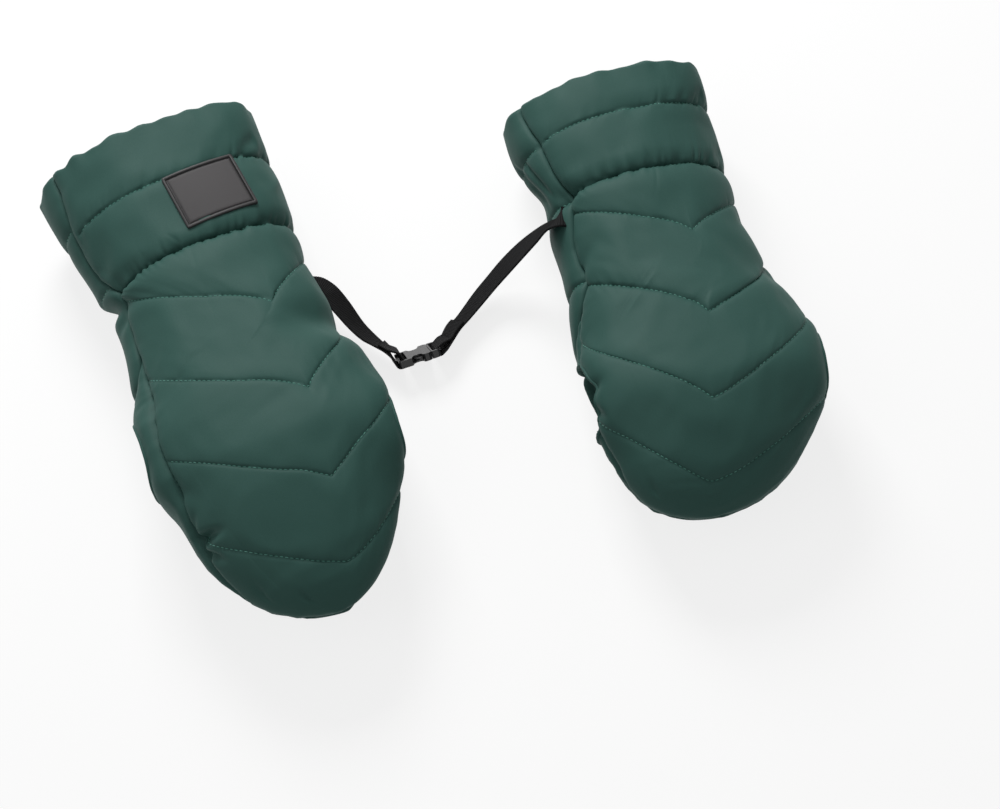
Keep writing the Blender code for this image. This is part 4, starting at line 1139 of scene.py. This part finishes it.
def on_mitt(across, along):
    """Where a point of the patch lies in the mitt's frame."""
    return (PATCH_ACROSS + across * cos(PATCH_TURN) - along * sin(PATCH_TURN),
            PATCH_BEHIND_PASSAGE + across * sin(PATCH_TURN) + along * cos(PATCH_TURN))


samples = []
for across in PATCH_SAMPLES_ACROSS * PATCH_WIDTH:
    for along in PATCH_SAMPLES_ALONG * PATCH_HEIGHT:
        hit = sampled.ray_cast(Vector((*on_mitt(across, along), PATCH_SAMPLED_FROM)), Vector((0, 0, -1)))[0]
        samples.append((across, along, hit.z))
across, along, top = np.array(samples).T


def curve_terms(across, along):
    """The terms of the soft curve that the patch is bent to."""
    return np.stack([np.ones_like(across), across, along, across**2, along**2, across * along, across**3], -1)


curve = np.linalg.lstsq(curve_terms(across, along), top, rcond=None)[0]
proud = (top - curve_terms(across, along) @ curve).max() - PATCH_SINKS / 2


def patch_lines(size):
    """Places across the patch: those of its edge's profile at both sides, and even ones between them."""
    edge = [distance / 1000 for distance, _ in PATCH_PROFILE]
    inner = size - 2 * edge[-1]
    count = int(inner / PATCH_SPAN)
    middle = [edge[-1] + inner * k / count for k in range(1, count)]
    lines = edge + middle + [size - distance for distance in edge[::-1]]
    return np.array(lines), list(range(len(edge))) + [len(edge)] * len(middle) + list(range(len(edge)))[::-1]


columns, column_steps = patch_lines(PATCH_WIDTH)
rows, row_steps = patch_lines(PATCH_HEIGHT)
step = np.minimum.outer(row_steps, column_steps)
rises = np.array([height / 1000 for _, height in PATCH_PROFILE] + [PATCH_PROFILE[-1][1] / 1000])[step]
x, y = np.meshgrid(columns - PATCH_WIDTH / 2, PATCH_HEIGHT / 2 - rows)
# Its corners are rounded: what lies beyond a corner's centre both ways is pulled in to the corner's radius
straight_x, straight_y = PATCH_WIDTH / 2 - PATCH_CORNER, PATCH_HEIGHT / 2 - PATCH_CORNER
beyond_x, beyond_y = np.maximum(np.abs(x) - straight_x, 0), np.maximum(np.abs(y) - straight_y, 0)
pull = np.minimum(1, PATCH_CORNER / np.maximum(np.hypot(beyond_x, beyond_y), 1e-9))
x = np.sign(x) * np.minimum(np.abs(x), straight_x + beyond_x * pull)
y = np.sign(y) * np.minimum(np.abs(y), straight_y + beyond_y * pull)
z = curve_terms(x, y) @ curve + proud + rises
points = np.stack([*on_mitt(x, y), z], axis=-1)
patch = mesh_piece("moulded_patch", points.reshape(-1, 3), grid_faces(*x.shape)[:, ::-1], rubber, LEFT.place,
                   sharp=radians(45))
patch.data.materials.append(dark_rubber)
rim = (np.minimum(step[:-1, :-1], step[1:, 1:]) < PATCH_RIM_STEPS).ravel()
patch.data.polygons.foreach_set("material_index", rim.astype(np.int32))
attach(patch, "left_half")
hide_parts("rubber_patch")

# Wadding and fleece lining
# Behind each shell lies a sheet of polyester wadding, and inside it the fleece that the hand feels. They
# show in the cuff, in the passages and where a flap is folded open.
# Each layer has its place inside the wall, its thickness and roughness, its mesh's spacing, the room that it
# leaves under the shell before it gives way, and how much wider its passage is cut than the shell's
WADDING_INSET = 0.0048
WADDING_THICKNESS = 0.0030
WADDING_NAP = 0.0003
WADDING_SPACING = 0.0045
WADDING_PLAY = 0.0023
WADDING_CUT_BACK = 0.0050
WADDING_TO_SEAM = 0.0045
FLEECE_THICKNESS = 0.0024
FLEECE_NAP = 0.0007
FLEECE_SPACING = 0.0024
FLEECE_PLAY = 0.0062
FLEECE_CUT_BACK = 0.0004
NAP_SIZE = (0.004, 0.004)
NAP_TO_SEAM = 0.003
# They give way less over this last share of the closing finger tip, and stay this share of their inset high
GIVE_ENDS = 0.35
LAYER_FLOOR = 0.9
FIBRE_SIZE = 0.002
PILE_SIZE = 0.0011

# Bonded polyester wadding: white fibres that scatter the light
wadding_finish, tree, surface = new_finish("polyester_wadding")
fibres = add_node(tree, "TexNoise", {"Scale": 1 / FIBRE_SIZE, "Detail": 6.0})
bump = add_node(tree, "Bump", {"Strength": 0.6, "Distance": 0.0005, "Height": fibres.outputs["Fac"]})
tree.links.new(bump.outputs[0], surface.inputs["Normal"])
surface.inputs["Base Color"].default_value = linear("#e4e4e1")
surface.inputs["Roughness"].default_value = 0.95

# Knitted fleece: a dark brushed pile with a dusty look where it catches the light
fleece, tree, surface = new_finish("brushed_fleece")
pile = add_node(tree, "TexNoise", {"Scale": 1 / PILE_SIZE, "Detail": 5.0})
tone = add_node(tree, "ValToRGB", {"Fac": pile.outputs["Fac"]})
tone.color_ramp.elements[0].color = linear("#17181a")
tone.color_ramp.elements[1].color = linear("#3c3e42")
bump = add_node(tree, "Bump", {"Strength": 0.8, "Distance": 0.0006, "Height": pile.outputs["Fac"]})
tree.links.new(tone.outputs["Color"], surface.inputs["Base Color"])
tree.links.new(bump.outputs[0], surface.inputs["Normal"])
surface.inputs["Roughness"].default_value = 0.95
surface.inputs["Sheen Weight"].default_value = 0.6


def inner_sheet(mitt, name, layer, inset, nap, play, spacing, cut_back, finish):
    """A panel's wadding or lining as one sheet, with the panel, and the edge of the passage in it."""
    panel = Panel(mitt, name, spacing)
    # It gives way where the shell is drawn in. Its own inset grows less towards the finger tip
    closing = np.cos(np.clip(panel.station - 1, 0, 1) * pi / 2)
    give = np.maximum(play - panel.heights()[0] - inset * closing, 0) * eased(closing / GIVE_ENDS)
    points = mitt.points(panel.station, panel.angle, inset, -give, name)
    rough = nap * crumple(panel.arc, panel.run, NAP_SIZE, mitt.seed + 50)
    points += grid_normals(points) * (rough * (panel.to_seam > NAP_TO_SEAM))[..., None]
    points[..., 2] = np.maximum(points[..., 2], inset * LAYER_FLOOR)
    flat, faces, edge = without_passage(mitt, points.reshape(-1, 3), grid_faces(*panel.station.shape),
                                        PASSAGE_RADIUS + cut_back)
    if layer == "wadding":
        faces = faces[(panel.to_seam.ravel()[faces] > WADDING_TO_SEAM).all(axis=1)]
    uv = np.stack([panel.arc, panel.run], axis=-1).reshape(-1, 2)
    return cloth_piece(f"{mitt.side}_{name}_{layer}_sheet", mitt, flat, faces, uv, finish), panel, flat[edge]


def thicken(sheet, thickness, offset):
    """Gives a sheet its thickness, outwards with an offset of 1 and both ways with 0."""
    solid = sheet.modifiers.new("thickness", "SOLIDIFY")
    solid.thickness = thickness
    solid.offset = offset


lining_edges = {}
for mitt in (LEFT, RIGHT):
    for name in ("top", "palm", "flap"):
        wadding, panel, _ = inner_sheet(mitt, name, "wadding", WADDING_INSET, WADDING_NAP, WADDING_PLAY,
                                        WADDING_SPACING, WADDING_CUT_BACK, wadding_finish)
        thicken(wadding, WADDING_THICKNESS, 0)
        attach(wadding, panel.body)
        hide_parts(f"{mitt.side}_{name}_wadding")
        lining, panel, lining_edges[mitt.side, name] = inner_sheet(
            mitt, name, "lining", WALL, FLEECE_NAP, FLEECE_PLAY, FLEECE_SPACING, FLEECE_CUT_BACK, fleece)
        thicken(lining, FLEECE_THICKNESS, 1)
        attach(lining, panel.body)
        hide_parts(f"{mitt.side}_{name}_lining")

# Passage hems
# Each end of a mitt's passage is bound with a strip of the shell's cloth that wraps the wall's cut
# edge. The strip is sewn on in parts, so that the flap's part folds away with the flap.
HEM_ROLL = 0.0008
HEM_PLEAT = 0.0034
HEM_PLEAT_DEPTH = 0.3
HEM_STEP = 0.0007
# Its way round the passage is smoothed over this many points on each side, and its roll is pleated where it
# stands this far towards the passage or more
HEM_SMOOTHING = 3
HEM_PLEATS_FROM = 0.8
# Each part's middle and length, as turns round the passage
HEM_PARTS = {"top": (pi / 2, pi), "palm": (-pi / 4, pi / 2), "flap": (-3 * pi / 4, pi / 2)}
# The strip's section: shares of the way down the wall, then how far it stands towards the passage, out of
# the cloth and back along the cloth, in rolls
HEM_SECTION = ((0, 0, -0.4, 1.7), (0, 0, 0.5, 1.3), (0, 0, 1.0, 0.5), (0, 0.5, 0.8, 0), (0.03, 1.0, 0.1, 0),
               (0.15, 1.1, 0, 0), (0.35, 0.9, 0, 0), (0.6, 0.8, 0, 0), (0.85, 0.9, 0, 0), (1.0, 0.7, 0, 0),
               (1.05, -0.2, 0, 0), (1.03, -1.6, 0, 0))


def hem_chain(mitt, points, side, centre, count):
    """The edge of one passage in a panel, at even turns round the passage's axis."""
    out = points[(points[:, 0] > 0) == (side > 0)]
    turn = (np.arctan2(*mitt.off_axis(out)[::-1]) - centre + pi) % (2 * pi) - pi
    order = np.argsort(turn)
    even = np.linspace(turn[order[0]], turn[order[-1]], count)
    chain = at_lengths(even, turn[order], out[order])
    padded = np.pad(chain, ((HEM_SMOOTHING, HEM_SMOOTHING), (0, 0)), mode="edge")
    window = 2 * HEM_SMOOTHING + 1
    smooth = sum(padded[k : k + count] for k in range(window)) / window
    smooth[[0, -1]] = chain[[0, -1]]
    return smooth


for mitt in (LEFT, RIGHT):
    for name in ("top", "palm", "flap"):
        panel, _, shell_edge = shells[mitt.side, name]
        centre, turn = HEM_PARTS[name]
        count = int(turn * PASSAGE_RADIUS / HEM_STEP)
        along_edge = np.arange(count) * HEM_STEP
        pleats = 1 + HEM_PLEAT_DEPTH * np.sin(along_edge / HEM_PLEAT * 2 * pi)[:, None]
        for side, side_name in ((1, "right"), (-1, "left")):
            outer = hem_chain(mitt, shell_edge, side, centre, count)
            last = hem_chain(mitt, lining_edges[mitt.side, name], side, centre, count)
            first, facing = outer[:, :3], unit(outer[:, 3:])
            outward = unit(first - last)
            axis_y = -first[:, 0] * np.tan(mitt.turn)
            inward = np.stack([first[:, 0], axis_y, np.full(count, PASSAGE_HEIGHT)], axis=1) - first
            inward = unit(inward - outward * np.sum(inward * outward, axis=1, keepdims=True))
            back = unit(-inward + facing * np.sum(inward * facing, axis=1, keepdims=True))
            rings = []
            for down, into, out, along in HEM_SECTION:
                roll = HEM_ROLL * (pleats if into > HEM_PLEATS_FROM else 1)
                off_wall = inward * into + facing * out + back * along
                rings.append(first + (last - first) * down + off_wall * roll)
            grid = np.stack(rings, axis=0)
            faces = grid_faces(*grid.shape[:2])[:, :: 1 if side > 0 else -1]
            uv = np.stack(np.broadcast_arrays(along_edge, np.linspace(0, WALL, len(rings))[:, None]), axis=-1)
            hem = mesh_piece(f"{mitt.side}_{name}_{side_name}_hem", grid.reshape(-1, 3), faces, shell_cloth,
                             mitt.place, uv.reshape(-1, 2))
            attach(hem, panel.body)

# Hook and loop tapes
# A loop tape under the top panel's front edge meets a hook tape on the flap's edge, from one end of the
# passage round the finger tips to the other.
TAPE_THICKNESS = 0.0009
TAPE_WIDTH = 0.009
TAPE_EDGE_INSET = 0.0006
TAPE_TO_PASSAGE = 0.004
TAPE_GAP = 0.00015
# The real hooks stand 0.5 mm apart; they are drawn 1.5 mm apart
NAP_PITCH = 0.0015
NAP_HEIGHT = 0.0005
NAP_WIRE = 0.00012
NAP_BOW = 0.22
NAP_RINGS = 4
NAP_AHEAD = 0.0005
# The rows stay between these shares of the tape's width. A loop comes back down, and a hook ends over it
NAP_FROM = 0.1
NAP_TO = 0.95
LOOP_BEND = pi
HOOK_BEND = 0.75 * pi
TAPE_STEPS = 90

# Woven nylon tape, black, with monofilament hooks or brushed loops, which leave it dull
tape_finish, tree, surface = new_finish("hook_and_loop_nylon")
surface.inputs["Base Color"].default_value = linear("#1a1a1c")
surface.inputs["Roughness"].default_value = 0.8


def tape_edges(mitt):
    """The stations and angles that a tape follows, from one end of the passage to the other."""
    sides = []
    for which, direction in ((0, 1), (1, -1)):
        passage_y = -direction * max(mitt.half_widths) * sin(mitt.turn)
        start_y = min(passage_y - PASSAGE_RADIUS, -PARTING_OPENS) - TAPE_TO_PASSAGE
        station = 2 - (2 - mitt.station(np.array(start_y))) * np.linspace(1, 0, TAPE_STEPS)
        sides.append((station, mitt.seam_angles(mitt.y_at(station))[which]))
    right, left = sides
    return [np.concatenate([there, back[-2::-1]]) for there, back in zip(right, left)]


def nap_rows(outer, inner, level, facing, bend):
    """Hooks or loops in rows on a tape's face, as three-sided wires: one row for every pitch across it."""
    reach = lengths_along(outer)
    points, wires = [], 0
    for across in np.arange(NAP_FROM, NAP_TO, NAP_PITCH / TAPE_WIDTH):
        line = outer + (inner - outer) * across + (0, 0, level)
        for place in np.arange(NAP_PITCH, reach[-1] - NAP_PITCH, NAP_PITCH):
            base, next_point = at_lengths([place, place + NAP_AHEAD], reach, line)
            ahead = unit(next_point - base)
            wires += 1
            for k in range(NAP_RINGS):
                turn = bend * k / (NAP_RINGS - 1)
                rise = facing * NAP_HEIGHT * sin(min(turn, pi))
                middle = base + ahead * NAP_PITCH * NAP_BOW * (1 - cos(turn)) + (0, 0, rise)
                points += [middle + (0, 0, NAP_WIRE), middle + ahead * NAP_WIRE - (0, 0, NAP_WIRE),
                           middle - ahead * NAP_WIRE - (0, 0, NAP_WIRE)]
    first = np.arange(wires)[:, None, None] * NAP_RINGS * 3
    return np.array(points), (first + tube_faces(NAP_RINGS, 3)).reshape(-1, 4)


for mitt in (LEFT, RIGHT):
    station, angle = tape_edges(mitt)
    drawn_in = TAPE_EDGE_INSET + np.maximum(mitt.folded(mitt.y_at(station), angle), 0)
    outer = mitt.points(station, angle, drawn_in) - np.array((0, 0, 1)) * PARTING
    inner = mitt.points(station, angle, drawn_in + TAPE_WIDTH) - np.array((0, 0, 1)) * PARTING
    for name, facing, bend, body in (("loop_tape", -1, LOOP_BEND, mitt.half),
                                     ("hook_tape", 1, HOOK_BEND, f"{mitt.side}_flap")):
        level = -facing * (TAPE_GAP + NAP_HEIGHT)
        back_level = level - facing * TAPE_THICKNESS
        strip = np.stack([outer + (0, 0, level), inner + (0, 0, level), inner + (0, 0, back_level),
                          outer + (0, 0, back_level)], axis=1).reshape(-1, 3)
        faces = tube_faces(len(outer), 4)[:, ::facing].tolist()
        faces += [[0, 1, 2, 3], [len(strip) - k for k in (1, 2, 3, 4)]]
        nap_points, nap_faces = nap_rows(outer, inner, level, facing, bend)
        made = mesh_piece(f"{mitt.side}_{name}_strip", np.concatenate([strip, nap_points]),
                          faces + (nap_faces + len(strip)).tolist(), tape_finish, mitt.place)
        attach(made, body)
        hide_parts(f"{mitt.side}_{name}")

# Cuff bindings
# A band of the shell's cloth closes the layers at the cuff and holds an elastic that gathers it.
BINDING_DEPTH = 0.020
BINDING_GATHERS = 46
STEPS_PER_GATHER = 8
# The gathers' depth, and how far their spacing strays and in how many waves round the cuff
GATHER_DEPTH = 0.0011
GATHER_STRAYS = 1.5
GATHER_STRAY_WAVES = 7
GATHER_STEEPNESS = 1.1
BINDING_CLEARANCE = 0.0003
# The band's section, over the cuff's edge and down the lining: distances inside the wall and along the mitt
BINDING_EDGE = ((0.0002, -0.0020), (0.0006, 0.0002), (0.0014, 0.0006), (0.0022, -0.0004))
BINDING_FACE = [(0.0024, -depth) for depth in np.linspace(0.002, BINDING_DEPTH, 14)]
BINDING_END = ((0.0010, -BINDING_DEPTH), (0.0004, -BINDING_DEPTH + 0.001))

for mitt in (LEFT, RIGHT):
    columns = BINDING_GATHERS * STEPS_PER_GATHER
    angle = np.arange(columns + 1) * 2 * pi / columns
    strays = GATHER_STRAYS * np.sin(GATHER_STRAY_WAVES * angle)
    rings = []
    for inside, shift in (*BINDING_EDGE, *BINDING_FACE, *BINDING_END):
        depth = np.clip(-shift / BINDING_DEPTH, 0, 1)
        gathered = GATHER_DEPTH * sin(pi * min(1, depth * GATHER_STEEPNESS))
        wave = gathered * np.sin(BINDING_GATHERS * angle + strays)
        inset = np.maximum(WALL + inside + wave, WALL + BINDING_CLEARANCE)
        rings.append(mitt.points(np.full_like(angle, -shift / (mitt.cuff_y - mitt.palm_y)), angle, inset))
    grid = np.stack(rings, axis=0)
    down = np.linspace(0, BINDING_DEPTH, len(rings))[:, None]
    uv = np.stack(np.broadcast_arrays(angle * WRIST_THICKNESS / 2, down), axis=-1)
    made = mesh_piece(f"{mitt.side}_cuff_band", grid.reshape(-1, 3), grid_faces(*grid.shape[:2])[:, ::-1],
                      shell_cloth, mitt.place, uv.reshape(-1, 2))
    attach(made, mitt.half)
    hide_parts(f"{mitt.side}_cuff_binding")
